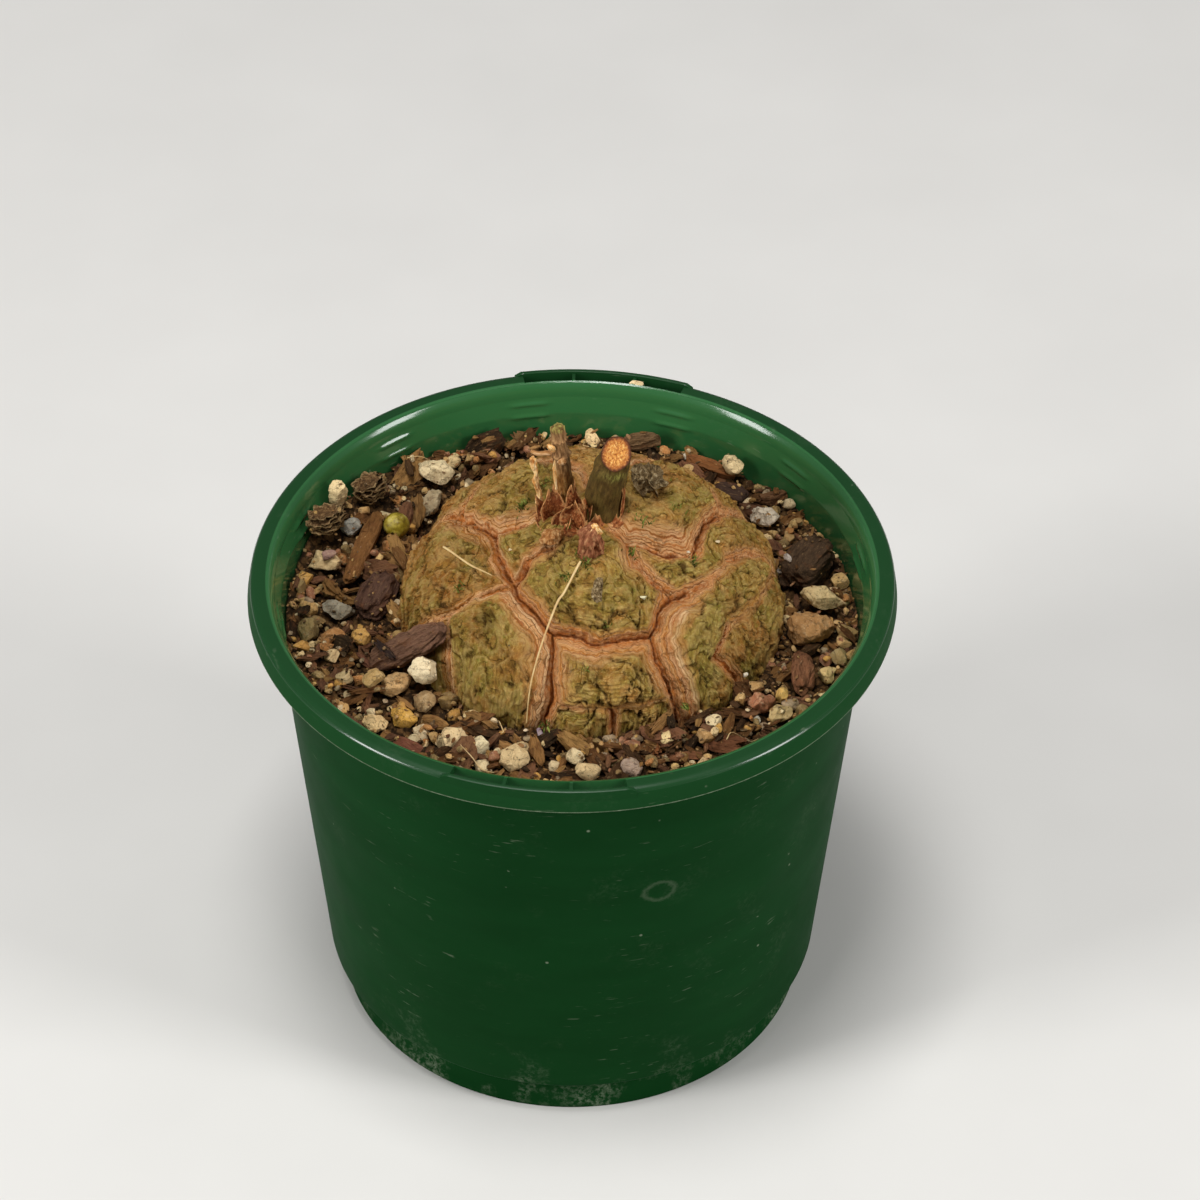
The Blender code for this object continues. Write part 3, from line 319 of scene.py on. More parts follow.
def joined(parts):
    """Several (points, faces, rows of values ...) as one."""
    faces, start = [], 0
    for points, some, *_ in parts:
        faces += [[k + start for k in face] for face in some]
        start += len(points)
    columns = [np.concatenate([part[k] for part in parts]) for k in range(len(parts[0])) if k != 1]
    return [columns[0], faces, *columns[1:]]


def bundle(name, parts, columns, made, slot, nodes=(), **settings):
    """One piece of several bodies, each given as points, faces and rows for the named columns."""
    points, faces, *rows = joined(parts)
    piece(name, points, faces, made, slot, nodes, **settings, **dict(zip(columns.split(), rows)))


# ---------------------------------------------------------------- materials

def add(tree, kind, *feeds, stops=(), **settings):
    """Adds a node and hands on its output as a field. kind is its type and, where wanted, its
    operation or blend in capitals, or the name of the output. Feeds fill its inputs in order,
    capitalised settings fill them by name, and the others are its properties. A value can be a
    number, a hex colour or a field."""
    kind, word, *_ = (kind + " .").split()
    made = tree.nodes.new("ShaderNode" + kind)
    if kind == "Mix":
        made.data_type = "RGBA"
    if len(word) > 1 and word.isupper():
        setattr(made, "blend_type" if kind == "Mix" else "operation", word)
    for key, value in settings.items():
        if key[0].islower():
            setattr(made, key, value)
    for k, (place, colour) in enumerate(stops):
        ramp = made.color_ramp.elements
        stop = ramp[k] if k < 2 else ramp.new(place)
        stop.position, stop.color = place, linear(colour)
    shown = [socket for socket in made.inputs if socket.enabled]
    pairs = list(zip(shown, feeds))
    pairs += [(next(s for s in shown if s.name == key.replace("_", " ")), value)
              for key, value in settings.items() if key[0].isupper()]
    for socket, value in pairs:
        if isinstance(value, Field):
            tree.links.new(value.socket, socket)
        else:
            socket.default_value = linear(value) if isinstance(value, str) else value
    return Field(tree, made.outputs.get(word) or next(out for out in made.outputs if out.enabled))


class Field:
    """Something that varies over a surface, such as a place, a height or a colour: the output of a
    shader node. Whatever is done with it adds nodes and gives a new field."""

    def __init__(self, tree, socket):
        self.tree, self.socket = tree, socket

    def then(self, kind, *feeds, **settings):
        return add(self.tree, kind, self, *feeds, **settings)

    def __add__(self, other):
        return self.then("Math ADD", other)

    def __sub__(self, other):
        return self.then("Math SUBTRACT", other)

    def __mul__(self, other):
        return self.then("VectorMath MULTIPLY" if isinstance(other, tuple) else "Math MULTIPLY", other)

    def most(self, other):
        """The larger of the two."""
        return self.then("Math MAXIMUM", other)

    def above(self, level):
        return self.then("Math GREATER_THAN", level)

    def below(self, level):
        return self.then("Math LESS_THAN", level)

    def spread(self, low, high, start=0.0, end=1.0):
        """start where this is at low, end where it is at high, evenly between, and held beyond."""
        return self.then("MapRange", low, high, start, end)

    def noise(self, size, detail=2, roughness=0.5, out=""):
        """Noise at this place, with lumps about size across."""
        return self.then("TexNoise " + out, Scale=1 / size, Detail=detail, Roughness=roughness)

    def cells(self, size, out="", **settings):
        """Cells about size across at this place: how far their middle is, or what else is asked."""
        return self.then("TexVoronoi " + out, Scale=1 / size, **settings)

    def ramp(self, *stops):
        """The colour between stops of (value, colour)."""
        return self.then("ValToRGB", stops=stops)

    def between(self, low, high, first, second):
        """The first colour where this is at low, the second where it is at high."""
        return add(self.tree, "Mix", self.spread(low, high), first, second)

    def tinted(self, colour, share):
        """This colour with a share of another over it."""
        return add(self.tree, "Mix", share, self, colour)

    def laid(self, colour, value, low, high, amount=1.0):
        """This colour with another over it: none where value is at low, the amount at high."""
        return self.tinted(colour, value.spread(low, high, 0.0, amount))

    def times(self, colour, share=1.0):
        """This colour, darkened as a stain does it."""
        return add(self.tree, "Mix MULTIPLY", share, self, colour)


class Surface:
    """A Principled material and the fields that its look starts from."""

    def __init__(self, name, **sockets):
        self.made = bpy.data.materials.new(name)
        self.made.use_nodes = True
        self.tree = self.made.node_tree
        self.shader = self.tree.nodes["Principled BSDF"]
        for key, value in sockets.items():
            self.shader.inputs[key.replace("_", " ")].default_value = value

    def node(self, kind, *feeds, **settings):
        return add(self.tree, kind, *feeds, **settings)

    def read(self, name, out="Fac"):
        """What the mesh holds at each point under this name."""
        return self.node("Attribute " + out, attribute_name=name)

    def place(self):
        """The place in the object, in millimetres."""
        return self.node("TexCoord Object") * ((1 / MM,) * 3)

    def dress(self, height=None, **varied):
        """The finished material, with what varies over it; heights are in millimetres."""
        if height is not None:
            varied["Normal"] = self.node("Bump", Height=height, Strength=1.0, Distance=MM)
        for key, field in varied.items():
            self.tree.links.new(field.socket, self.shader.inputs[key.replace("_", " ")])
        return self.made


def moulded_polypropylene():
    """Injection-moulded polypropylene: deep green, with the soft gloss of a polished mould, faint
    flow bands round the wall, rubbed scuffs, dried splashes of water and specks of grit."""
    s = Surface("moulded_polypropylene", IOR=1.49)
    place = s.place()
    height = place.then("SeparateXYZ Z")
    flow = (place * (0.25, 0.25, 1.0)).noise(9, 3)
    out = (place * (1, 1, 0)).then("VectorMath LENGTH")
    inner = height.spread(85.0, 106.0, 61.5, 63.4).most(height.spread(105.5, 107.0, 60.0, 66.0))
    inside = out.below(inner) * height.above(85.0)
    facing = s.node("NewGeometry Normal").then("SeparateXYZ Z")
    shoulder = facing.spread(0.3, 0.58).then("Math MINIMUM", facing.spread(0.7, 0.86, 1.0, 0.4))
    polished = inside.most(height.spread(POT_HEIGHT - 2.0, POT_HEIGHT - 0.8) * shoulder)
    # Painted light and shade: the outer wall is a darker green, the rim lighter and the inside lighter
    # still, as light falls on them
    wall = flow.ramp((0.3, "0B3213"), (0.7, "0E3817"))
    colour = wall.tinted(s.node("Mix", inside, "173E1E", "2E6236"), inside.most(height.above(107.0)))
    # Chalky water marks gather on the foot step and low on the wall, in ragged patches
    low = height.spread(22.0, 2.0)
    grain = place.noise(1.1, 6, 0.7)
    chalk = (place.noise(13, 5, 0.62) + low * 0.10).spread(0.56, 0.72)
    chalk = chalk * grain.spread(0.45, 0.65) * low.spread(0.0, 1.0, 0.04, 0.3)
    # Rubbed scuffs: short pale hairs along the way the pot slides
    scrape = (place * (0.35, 0.35, 2.6)).noise(1.6, 3)
    scuff = scrape.spread(0.66, 0.74, 0.0, 0.22) * place.noise(22).spread(0.5, 0.68)
    speck = place.cells(5.2).spread(0.085, 0.045, 0.0, 0.35) * place.noise(6.5).spread(0.57, 0.6)
    wear_and_painted_highlight = scuff.most(chalk).most(speck)
    # A dried ring where a drop ran down the front
    ring = place.then("VectorMath SUBTRACT", (18.5, -60.0, 74.0)) * (1.0, 0.0, 1.15)
    ring = ring.then("VectorMath LENGTH") + grain.spread(0.3, 0.7, -0.5, 0.5)
    ring = (ring - 3.2).then("Math ABSOLUTE").spread(0.9, 0.1, 0.0, 0.09)
    wear_and_painted_highlight = wear_and_painted_highlight.most(ring * place.then("SeparateXYZ Y").below(-40.0))
    # A pale line along the rim's lower edge is a painted highlight; above it the skin is polished, below it
    # dull
    edge = (height - (POT_HEIGHT - 4.9)).then("Math ABSOLUTE").spread(0.30, 0.10, 0.0, 0.5)
    edge = edge * out.above(RIM_RADIUS - 0.7)
    wear_and_painted_highlight = wear_and_painted_highlight.most(edge * grain.spread(0.35, 0.6, 0.3, 1.0))
    gloss = place.noise(16, 4).spread(0.35, 0.65, 0.0, 0.08) + polished.spread(0.0, 1.0, 0.45, 0.11)
    bumps = place.noise(0.5) * 0.008 + grain * chalk * 0.05 + flow * 0.05
    return s.dress(bumps, Base_Color=colour.tinted("A9B49A", wear_and_painted_highlight),
                   Specular_IOR_Level=polished.spread(0.0, 1.0, 0.015, 0.6), Roughness=gloss + wear_and_painted_highlight * 0.5)


def caudex_cork():
    """Corky bark of a caudex: the plate tops are weathered, flaking and grown over with algae and
    moss; the plates' sides show the yearly layers as pink and cream bands; the fissures between
    are fresh rust-brown cork."""
    s = Surface("caudex_cork", Specular_IOR_Level=0.12)
    skirt, gap, layer, worn, tone, crack, moss, shade, stand = (
        s.read(name) for name in "skirt gap layer worn tone crack moss shade stand".split())
    place = s.place()
    grain = (place * (1, 1, 0.5)).noise(0.8, 8, 0.75)
    crumb, patch = place.noise(0.3, 4, 0.7), place.noise(7, 5, 0.55)
    # Plate tops, each flake a little browner or greener than the next
    top = grain.ramp((0.30, "684A14"), (0.42, "926C2A"), (0.53, "AE883E"), (0.66, "CEAC68"))
    brown = grain.ramp((0.30, "663C0E"), (0.5, "A66C2E"), (0.68, "D4A264"))
    lean = patch + tone * 0.16 + shade * 0.05 + place.noise(1.6, 3).spread(0.3, 0.7, -0.06, 0.06)
    top = top.laid(brown, lean, 0.45, 0.64, 0.85)
    top = top.laid(top.times("D2AC80"), tone, 0.3, 0.9, 0.6)
    green = grain.ramp((0.30, "524C16"), (0.50, "827A30"), (0.68, "AAA054"))
    grown = moss + patch.spread(0.3, 0.7, -0.25, 0.25) - shade * 0.2
    grown = grown + place.noise(1.1, 3).spread(0.3, 0.7, -0.2, 0.2)
    top = top.laid(green, grown, 0.38, 1.05, 0.65)
    tuft = place.noise(1.5, 6).spread(0.62, 0.68) * moss.spread(0.55, 0.9, 0.0, 0.5)
    top = top.tinted(crumb.between(0.35, 0.65, "42480E", "8A9632"), tuft)
    # Each worn step of a top has a dark foot, painted as its shadow, and a pale lip, painted as a highlight
    step = (worn + place.noise(1.5, 4).spread(0.25, 0.75, -0.24, 0.24)).then("Math FRACT")
    under = step.spread(0.15, 0.03).most(step.spread(0.93, 0.99)) * place.noise(2.4, 4).spread(0.38, 0.54)
    over = step.spread(0.18, 0.32) * step.spread(0.75, 0.4)
    top = top.tinted("CDB070", over * 0.3).tinted("523A0E", under * 0.85)
    # Layered sides: bands of uneven width and colour, each with a dark foot, partly its own dark line and
    # partly painted shade under the ledge, and a pale lip painted as a highlight on the ledge
    ragged = layer + place.noise(1.4, 6).spread(0.25, 0.75, -0.35, 0.35)
    leaf = ragged.then("Math FRACT")
    foot = leaf.spread(0.13, 0.03).most(leaf.spread(0.93, 0.99)) * place.noise(2.5, 3).spread(0.36, 0.56)
    lip = leaf.spread(0.2, 0.36) * leaf.spread(0.75, 0.4)
    band = s.node("CombineXYZ", ragged * 1.3, tone * 9.0, 7.7).noise(1.0, 2, 0.6)
    side = band.spread(0.34, 0.66).ramp((0.0, "9C5422"), (0.2, "C0803E"), (0.36, "E2B078"), (0.48, "A65C2A"),
                                        (0.60, "E4B884"), (0.74, "B4703A"), (1.0, "E6C08E"))
    side = side.tinted("E6BE8C", lip * 0.24)
    side = side.laid("D8B68C", gap, 2.5, 6.0, 0.25)
    side = side.laid("BC7034", place.noise(2.8, 5), 0.44, 0.66, 0.4)
    side = side.laid("8A5018", grain, 0.46, 0.30, 0.6)
    side = side.laid("E4BE8C", grain, 0.54, 0.70, 0.4)
    # Drying has split the bands across, here and there
    torn = place.then("VectorMath ADD", place.noise(1.2, 3, out="Color") * (1.6, 1.6, 1.6))
    split = torn.cells(3.6, feature="DISTANCE_TO_EDGE").spread(0.06, 0.02)
    side = side.tinted("6A3A12", split * place.noise(5, 3).spread(0.46, 0.56) * 0.55)
    side = side.laid("A67E3A", skirt + patch.spread(0.3, 0.7, -0.3, 0.3), 0.5, 1.05, 0.65)
    near = gap + place.noise(1.1, 4).spread(0.3, 0.7, -0.8, 0.8)
    side = side.laid(grain.between(0.35, 0.65, "A04A10", "D4843C"), near, 1.2, 0.0, 0.85)
    side = side.laid("5E2406", gap + crumb.spread(0.3, 0.7, -0.12, 0.12), 0.46, 0.12, 0.85)
    # Painted shade darkens the hollows, and a painted highlight pales what stands proud
    top = top.laid(top.times("8A7048"), stand, 0.0, -0.8, 0.5)
    top = top.laid("CFAE6A", stand, 0.1, 0.8, 0.3)
    colour = side.laid(top, skirt + grain.spread(0.25, 0.75, -0.25, 0.25), 0.55, 1.0)
    # Painted shade at the layers' dark feet, deeper towards the fissure
    colour = colour.tinted("6A4014", foot * gap.spread(9.0, 1.5, 0.15, 0.85))
    colour = colour.laid("40290A", crack * crumb.spread(0.25, 0.6, 0.7, 1.1), 0.3, 0.85, 0.85)
    # Depths: a crumbling grain, and fine steps between the layers
    height = grain * 0.7 + crumb * 0.2 + (lip - foot) * 0.12 - under * 0.25 - crack * 0.4
    return s.dress(height, Base_Color=colour, Roughness=grain.spread(0.3, 0.7, 0.8, 1.0))


def weathered_gravel():
    """River and quarry gravel: quartz, sandstone and granite grains with dull broken faces, tan
    staining in the hollows, hair cracks and pin-holes. Each stone's own colour is in tint."""
    s = Surface("weathered_gravel", Specular_IOR_Level=0.2)
    place, tint = s.read("lie", "Vector"), s.read("tint", "Color")
    mottle, grit = place.noise(2.0, 7, 0.64), place.noise(0.4, 5, 0.7)
    colour = tint.laid("EAD6AC", mottle, 0.54, 0.74, 0.3)
    colour = colour.laid(tint.times("8A5E34", 0.8), mottle, 0.48, 0.30, 0.5)
    colour = colour.laid(tint.times("7A5A3C"), grit, 0.44, 0.28, 0.7)
    colour = colour.laid("F0E0BE", place.noise(0.22), 0.60, 0.72, 0.3)
    colour = colour.tinted("C4965A", grit.spread(0.35, 0.65, 0.24, 0.03))
    pit = place.cells(1.1).spread(0.20, 0.08) * place.noise(2).spread(0.47, 0.58)
    vein = (place.noise(2.6, 5) - 0.5).then("Math ABSOLUTE").spread(0.012, 0.002, 0.0, 0.7)
    dark = pit.most(vein)
    colour = colour.tinted("4E3820", dark * 0.75) * (1.16, 1.18, 1.2)
    return s.dress(mottle * 0.7 + grit * 0.28 - dark * 0.22, Base_Color=colour,
                   Roughness=mottle.spread(0.3, 0.7, 0.6, 0.9))


def pine_bark():
    """Composted pine bark: thin plates of cork that split along the grain, purple-brown on the split
    faces, and pale on the raised grain, where highlights are painted."""
    s = Surface("pine_bark", Specular_IOR_Level=0.12)
    lie, tint = s.read("lie", "Vector"), s.read("tint", "Color")
    along = lie * (0.24, 1, 1.5)
    grain, fine = along.noise(0.9, 9, 0.7), along.noise(0.25, 4)
    colour = tint.laid(tint.times("5A4434"), grain, 0.50, 0.28, 0.9)
    # Painted highlights: paler where the grain rises
    colour = colour.laid("A07850", grain, 0.56, 0.74, 0.5)
    colour = colour.laid("7C4C2C", lie.noise(2.4, 4), 0.55, 0.68, 0.4)
    colour = colour.laid("B08C60", fine, 0.60, 0.72, 0.4)
    colour = colour.laid("1E1610", fine, 0.40, 0.30, 0.6)
    return s.dress(grain * 1.1 + fine * 0.3, Base_Color=colour, Roughness=grain.spread(0.3, 0.7, 0.75, 0.98))


def humus_fines():
    """Bark dust, humus and grit between the stones: near black where low and in the gaps between
    crumbs, with paler crumbs, shreds and grains of sand."""
    s = Surface("humus_fines", Specular_IOR_Level=0.1)
    place = s.place()
    bent = place.then("VectorMath ADD", place.noise(2, out="Color") * (2, 2, 2))
    crumb = bent.cells(1.5)
    shade = place.noise(2.2, 8, 0.68)
    colour = shade.ramp((0.30, "241910"), (0.44, "48331E"), (0.58, "6E5030"), (0.76, "9E7A4C"))
    colour = colour.laid("7A5836", bent.cells(1.5, "Color"), 0.35, 0.8, 0.55)
    colour = colour.laid("150E08", crumb, 0.42, 0.66, 0.8)
    return s.dress(shade * 1.3 - crumb * 0.9, Base_Color=colour, Roughness=shade.spread(0.3, 0.7, 0.8, 1.0))


def cone_scale():
    """Rotted pine-cone scales: brown and ribbed, with thin pale lips."""
    s = Surface("cone_scale", Roughness=0.9, Specular_IOR_Level=0.2)
    ribs = (s.read("lie", "Vector") * (1, 1, 3)).noise(0.8, 7, 0.68)
    colour = ribs.ramp((0.32, "2E2012"), (0.5, "66492C"), (0.68, "9A7A50"))
    colour = colour.laid("BC9C6C", s.read("edge") + ribs.spread(0.3, 0.7, -0.12, 0.12), 0.82, 0.98, 0.75)
    return s.dress(ribs * 0.8, Base_Color=colour)


def stem_bark(name, dark, middle, pale, blotch, amount, dapple="8C8A4A", dapples=0.0):
    """Skin of a dried vine stem: fine lengthwise wrinkles, blotches and a dull waxy surface."""
    s = Surface(name, Specular_IOR_Level=0.12)
    lie = s.read("lie", "Vector")
    wrinkle = (lie * (1, 1, 0.22)).noise(0.6, 7, 0.65)
    colour = wrinkle.ramp((0.30, dark), (0.5, middle), (0.72, pale))
    colour = colour.laid(blotch, lie.noise(2.4, 5, 0.6), 0.5, 0.7, amount)
    colour = colour.laid(dapple, lie.noise(3.2, 6, 0.65), 0.46, 0.62, dapples)
    colour = colour.laid(dark, lie.noise(0.7, 3), 0.36, 0.24, 0.7)
    colour = colour.tinted(wrinkle.between(0.35, 0.65, "5E4228", "B8946C"), s.read("aged") * 0.5)
    lichen = s.read("lichen") * wrinkle.spread(0.40, 0.56, 0.1, 0.8)
    colour = colour.tinted(wrinkle.between(0.40, 0.65, "6A6A22", "B8B060"), lichen)
    return s.dress(wrinkle * 0.5, Base_Color=colour, Roughness=wrinkle.spread(0.3, 0.7, 0.55, 0.85))


def sawn_stem_end():
    """Sawn end of a vine stem: orange wood in blotches and faint rays, with a dark skin."""
    s = Surface("sawn_stem_end", Specular_IOR_Level=0.35)
    streak = (s.read("rays", "Vector") * (5.5, 5.5, 1.6)).noise(1.0, 6, 0.65)
    blotch = s.read("lie", "Vector").noise(0.5, 5, 0.6)
    colour = blotch.ramp((0.36, "A05C1C"), (0.46, "C87E34"), (0.54, "E09C46"), (0.64, "F2C274"))
    colour = colour.laid("9A5820", streak, 0.50, 0.36, 0.5)
    colour = colour.laid("F6D294", streak, 0.56, 0.68, 0.4)
    worn = s.read("reach") + blotch.spread(0.35, 0.65, 0.06, -0.06)
    colour = colour.laid("A2561C", worn, 0.50, 0.84, 0.8)
    colour = colour.laid("54280E", worn, 0.80, 0.94, 0.95)
    return s.dress(blotch * 0.5, Base_Color=colour, Roughness=streak.spread(0.3, 0.7, 0.5, 0.75))


def split_wood():
    """Torn pale wood of a split stem: cream fibres with orange staining."""
    s = Surface("split_wood", Roughness=0.75, Specular_IOR_Level=0.2)
    lie = s.read("lie", "Vector")
    fibres = (lie * (1, 1, 0.16)).noise(0.35, 7, 0.68)
    colour = fibres.ramp((0.32, "A0561A"), (0.43, "E49A4C"), (0.54, "F8CE8C"), (0.70, "FFEABE"))
    colour = colour.laid("A4602A", lie.noise(1.5, 5), 0.52, 0.64, 0.65)
    return s.dress(fibres * 0.45, Base_Color=colour)


def papery_bract():
    """Dried bracts: thin brown paper, orange where light comes through, dark at the veins."""
    s = Surface("papery_bract", Roughness=0.7, Specular_IOR_Level=0.15, Subsurface_Weight=0.1,
                Subsurface_Scale=0.001)
    lie = s.read("lie", "Vector")
    vein, torn = (lie * (1.6, 0.3, 1)).noise(0.7, 7, 0.66), lie.noise(2.2, 5)
    colour = vein.ramp((0.30, "341607"), (0.42, "663212"), (0.56, "9A582C"), (0.72, "D8A470"))
    colour = colour.laid("5E2C10", torn, 0.52, 0.62, 0.6)
    colour = colour.laid("C08E58", torn, 0.44, 0.34, 0.5)
    colour = colour.laid("D29C62", s.read("edge") + vein.spread(0.3, 0.7, -0.14, 0.14), 0.78, 1.0, 0.6)
    return s.dress(vein * 0.4, Base_Color=colour)


def dry_grass():
    """Bleached grass: straw-coloured, ribbed lengthwise, with a faint shine."""
    s = Surface("dry_grass", Roughness=0.5, Specular_IOR_Level=0.4)
    lie = s.read("lie", "Vector")
    rib = (lie * (1, 1, 0.05)).noise(0.16, 3)
    colour = s.node("Mix", rib, "B88A48", "F0DCA4").laid("B07C40", lie.noise(5, 3), 0.45, 0.65, 0.75)
    return s.dress(rib * 0.1, Base_Color=colour)


def crumpled_leaf():
    """A dried, crumpled leaf: brown-grey, with painted shade nearly black in its folds and painted
    highlights pale on its raised parts.
    """
    s = Surface("crumpled_leaf", Roughness=0.9, Specular_IOR_Level=0.12)
    lie = s.read("lie", "Vector")
    fold = lie.noise(1.0, 8, 0.7)
    # Colour follows the folds' height: painted shade low in them, painted highlights where they rise
    colour = fold.ramp((0.34, "2C2012"), (0.44, "665236"), (0.54, "987F58"), (0.68, "D8CAA4"))
    return s.dress(fold * 0.9, Base_Color=colour.laid("5C4C36", lie.noise(2.6, 3), 0.5, 0.7, 0.6))


def moss_leaf():
    """Shoots of moss: soft yellow-green at the tips, dark and brown at the foot."""
    s = Surface("moss_leaf", Roughness=0.8, Specular_IOR_Level=0.2)
    colour = s.place().noise(1.4, 4).ramp((0.35, "404A12"), (0.5, "66722A"), (0.68, "98A04C"))
    along = s.read("lie", "Vector").then("SeparateXYZ Z")
    return s.dress(Base_Color=colour.laid("3C3A10", along, 0.9, 0.2, 0.8))


def resin_prill():
    """A coated fertiliser bead: a smooth olive-yellow skin with a waxy gloss and brown dirt."""
    s = Surface("resin_prill", IOR=1.5, Specular_IOR_Level=0.4)
    place = s.place()
    cloud, dirt = place.noise(2.2, 6, 0.62), place.noise(0.9, 6, 0.7)
    colour = cloud.ramp((0.34, "6E5A12"), (0.46, "988424"), (0.57, "B8A444"), (0.70, "DACC84"))
    colour = colour.laid("5A3E14", dirt, 0.54, 0.66, 0.65)
    return s.dress(dirt * 0.12, Base_Color=colour, Roughness=cloud.spread(0.3, 0.7, 0.3, 0.5))


# ---------------------------------------------------------------- pot

def wall_radius(z):
    """Inner radius of the pot wall at a height; its top flares into the rim."""
    top = POT_HEIGHT - FLARE
    low = WALL_TOP - WALL - (WALL_TOP - WALL_FOOT) * (top - z) / (top - FOOT_HEIGHT)
    return np.where(z > top, WALL_TOP - WALL + 2.4 * (z - POT_HEIGHT + FLARE) / FLARE, low)


def rounded_profile(corners, step):
    """A profile through (radius, height, rounding) corners, each eased by a short curve, with
    straight runs no longer than step."""
    points = np.array([corner[:2] for corner in corners], float)
    line = [points[0]]
    for k in range(1, len(corners)):
        here, before = points[k], line[-1]
        if k == len(corners) - 1 or not corners[k][2]:
            stops = [here]
        else:
            back, on = unit(points[k - 1] - here), unit(points[k + 1] - here)
            t = np.linspace(0, 1, 5)[:, None]
            start, end = here + back * corners[k][2], here + on * corners[k][2]
            stops = [*((1 - t) ** 2 * start + 2 * t * (1 - t) * here + t ** 2 * end)]
        gap = np.linalg.norm(stops[0] - before)
        for share in np.linspace(0, 1, int(gap / step) + 2)[1:-1]:
            line.append(before + (stops[0] - before) * share)
        line += stops
    return np.array(line)


def pot_corners():
    """The pot's profile from the middle of its floor, up inside, over the rim and down outside."""
    top, foot, flare = POT_HEIGHT, FOOT_RADIUS, POT_HEIGHT - FLARE
    floor_top = FLOOR_UNDER + FLOOR
    inner = [(0, floor_top, 0), (foot - 3.4, floor_top, 1.2), (float(wall_radius(11.5)), 11.5, 1),
             (float(wall_radius(flare)), flare, 2), (63.5, top - 3, 2.4), (65.3, top - 0.2, 0.5)]
    rim = [(65.7, top, 0.4), (68.3, top, 0.6), (69.3, top - 0.6, 0.5), (RIM_RADIUS, top - 5, 0.3),
           (RIM_RADIUS - 1.1, top - 5, 0.3), (RIM_RADIUS - 1.7, top - 1.6, 0.3), (66.5, top - 1.6, 0.4)]
    outer = [(WALL_TOP, flare, 1.5), (WALL_FOOT, FOOT_HEIGHT, 0.5),
             (WALL_FOOT - 1, FOOT_HEIGHT - 0.7, 0.3), (foot - 0.9, FOOT_HEIGHT - 0.9, 0.4),
             (foot - 0.7, 5, 0), (foot, 0.4, 0.3), (foot - 0.2, 0, 0.1), (foot - 1.5, 0, 0.3),
             (foot - 2.3, FLOOR_UNDER, 0.6), (0, FLOOR_UNDER, 0)]
    return inner + rim + outer


def stacking_lugs(bearing, profile):
    """How far each point of the wall stands in: pairs of short ribs that keep nested pots apart."""
    height, inner = profile[:, 1], np.arange(len(profile)) < profile[:, 1].argmax()
    rise = np.zeros((len(profile), len(bearing)))
    for centre in SLOT_BEARINGS[1] + 15.0 + 360 / LUG_PAIRS * np.arange(LUG_PAIRS):
        away = (bearing - centre + 180) % 360 - 180
        along = smooth_step(4.2, 3.6, np.abs(away))
        for drop in LUG_DROPS:
            up = np.exp(-((height - (POT_HEIGHT - drop)) / LUG_WIDTH) ** 2)
            rise += LUG_RISE * np.outer(np.where(inner, up, 0), along)
    return rise


def label_lip(bearing):
    """The thin upright lip behind a label slot: an arc on the rim's outer edge, as points and faces."""
    low, high, cuts = POT_HEIGHT - 3, POT_HEIGHT + 0.5, 60
    radius, height = np.array([(68.2, low), (69.5, low), (69.42, high - 0.15), (69.2, high), (68.6, high),
                               (68.42, high - 0.15)]).T
    turn = np.radians(bearing + np.linspace(-17, 17, cuts))[:, None]
    share = 1 - smooth_step(0.93, 1.0, np.abs(np.linspace(-1, 1, cuts)))[:, None]
    cut = np.where(height > POT_HEIGHT - 1, POT_HEIGHT - 0.4 + (height - POT_HEIGHT + 0.4) * share, height)
    points = np.stack([radius * np.cos(turn), radius * np.sin(turn), cut], axis=-1).reshape(-1, 3)
    faces = [face[::-1] for face in grid_faces(cuts, len(radius), True)]
    end = range(len(radius))
    return points, faces + [[*end], [(cuts - 1) * len(radius) + k for k in reversed(end)]]


def slot_cutter():
    """The label slots' cells, as arcs of the rim's top, and the drain holes."""
    parts = []
    middle, top = 67.0, POT_HEIGHT + 2
    section = [(65.9, POT_HEIGHT - 2.6), (68.3, POT_HEIGHT - 2.6), (68.55, top), (65.7, top)]
    for bearing, (shift, length) in itertools.product(SLOT_BEARINGS, SLOT_CELLS):
        turn = math.radians(bearing) + shift / middle + np.linspace(-0.5, 0.5, 12) * length / middle
        points = [(r * math.cos(a), r * math.sin(a), z) for a in turn for r, z in section]
        faces = [*grid_faces(12, 4, True), (3, 2, 1, 0), (44, 45, 46, 47)]
        parts.append((points, [face[::-1] for face in faces]))
    for spin in math.tau * (np.arange(DRAIN_HOLES) + 0.5) / DRAIN_HOLES:
        foot = np.array([DRAIN_CIRCLE * math.cos(spin), DRAIN_CIRCLE * math.sin(spin), FLOOR_UNDER - 2])
        parts.append(tube([foot, foot + (0, 0, 3), foot + (0, 0, 6)], [DRAIN_RADIUS] * 3, 4, 40)[:2])
    thing = placed("slot_cutter", mesh_of("slot_cutter", *joined(parts)))
    thing.hide_render = True
    return thing


def outward(points, faces):
    """Turns all faces round if the closed body is inside out."""
    corners = np.array([(points[face[0]], points[face[k]], points[face[k + 1]])
                        for face in faces for k in range(1, len(face) - 1)])
    volume = np.einsum("ij,ij->i", corners[:, 0], np.cross(corners[:, 1], corners[:, 2])).sum()
    return faces if volume > 0 else [face[::-1] for face in faces]


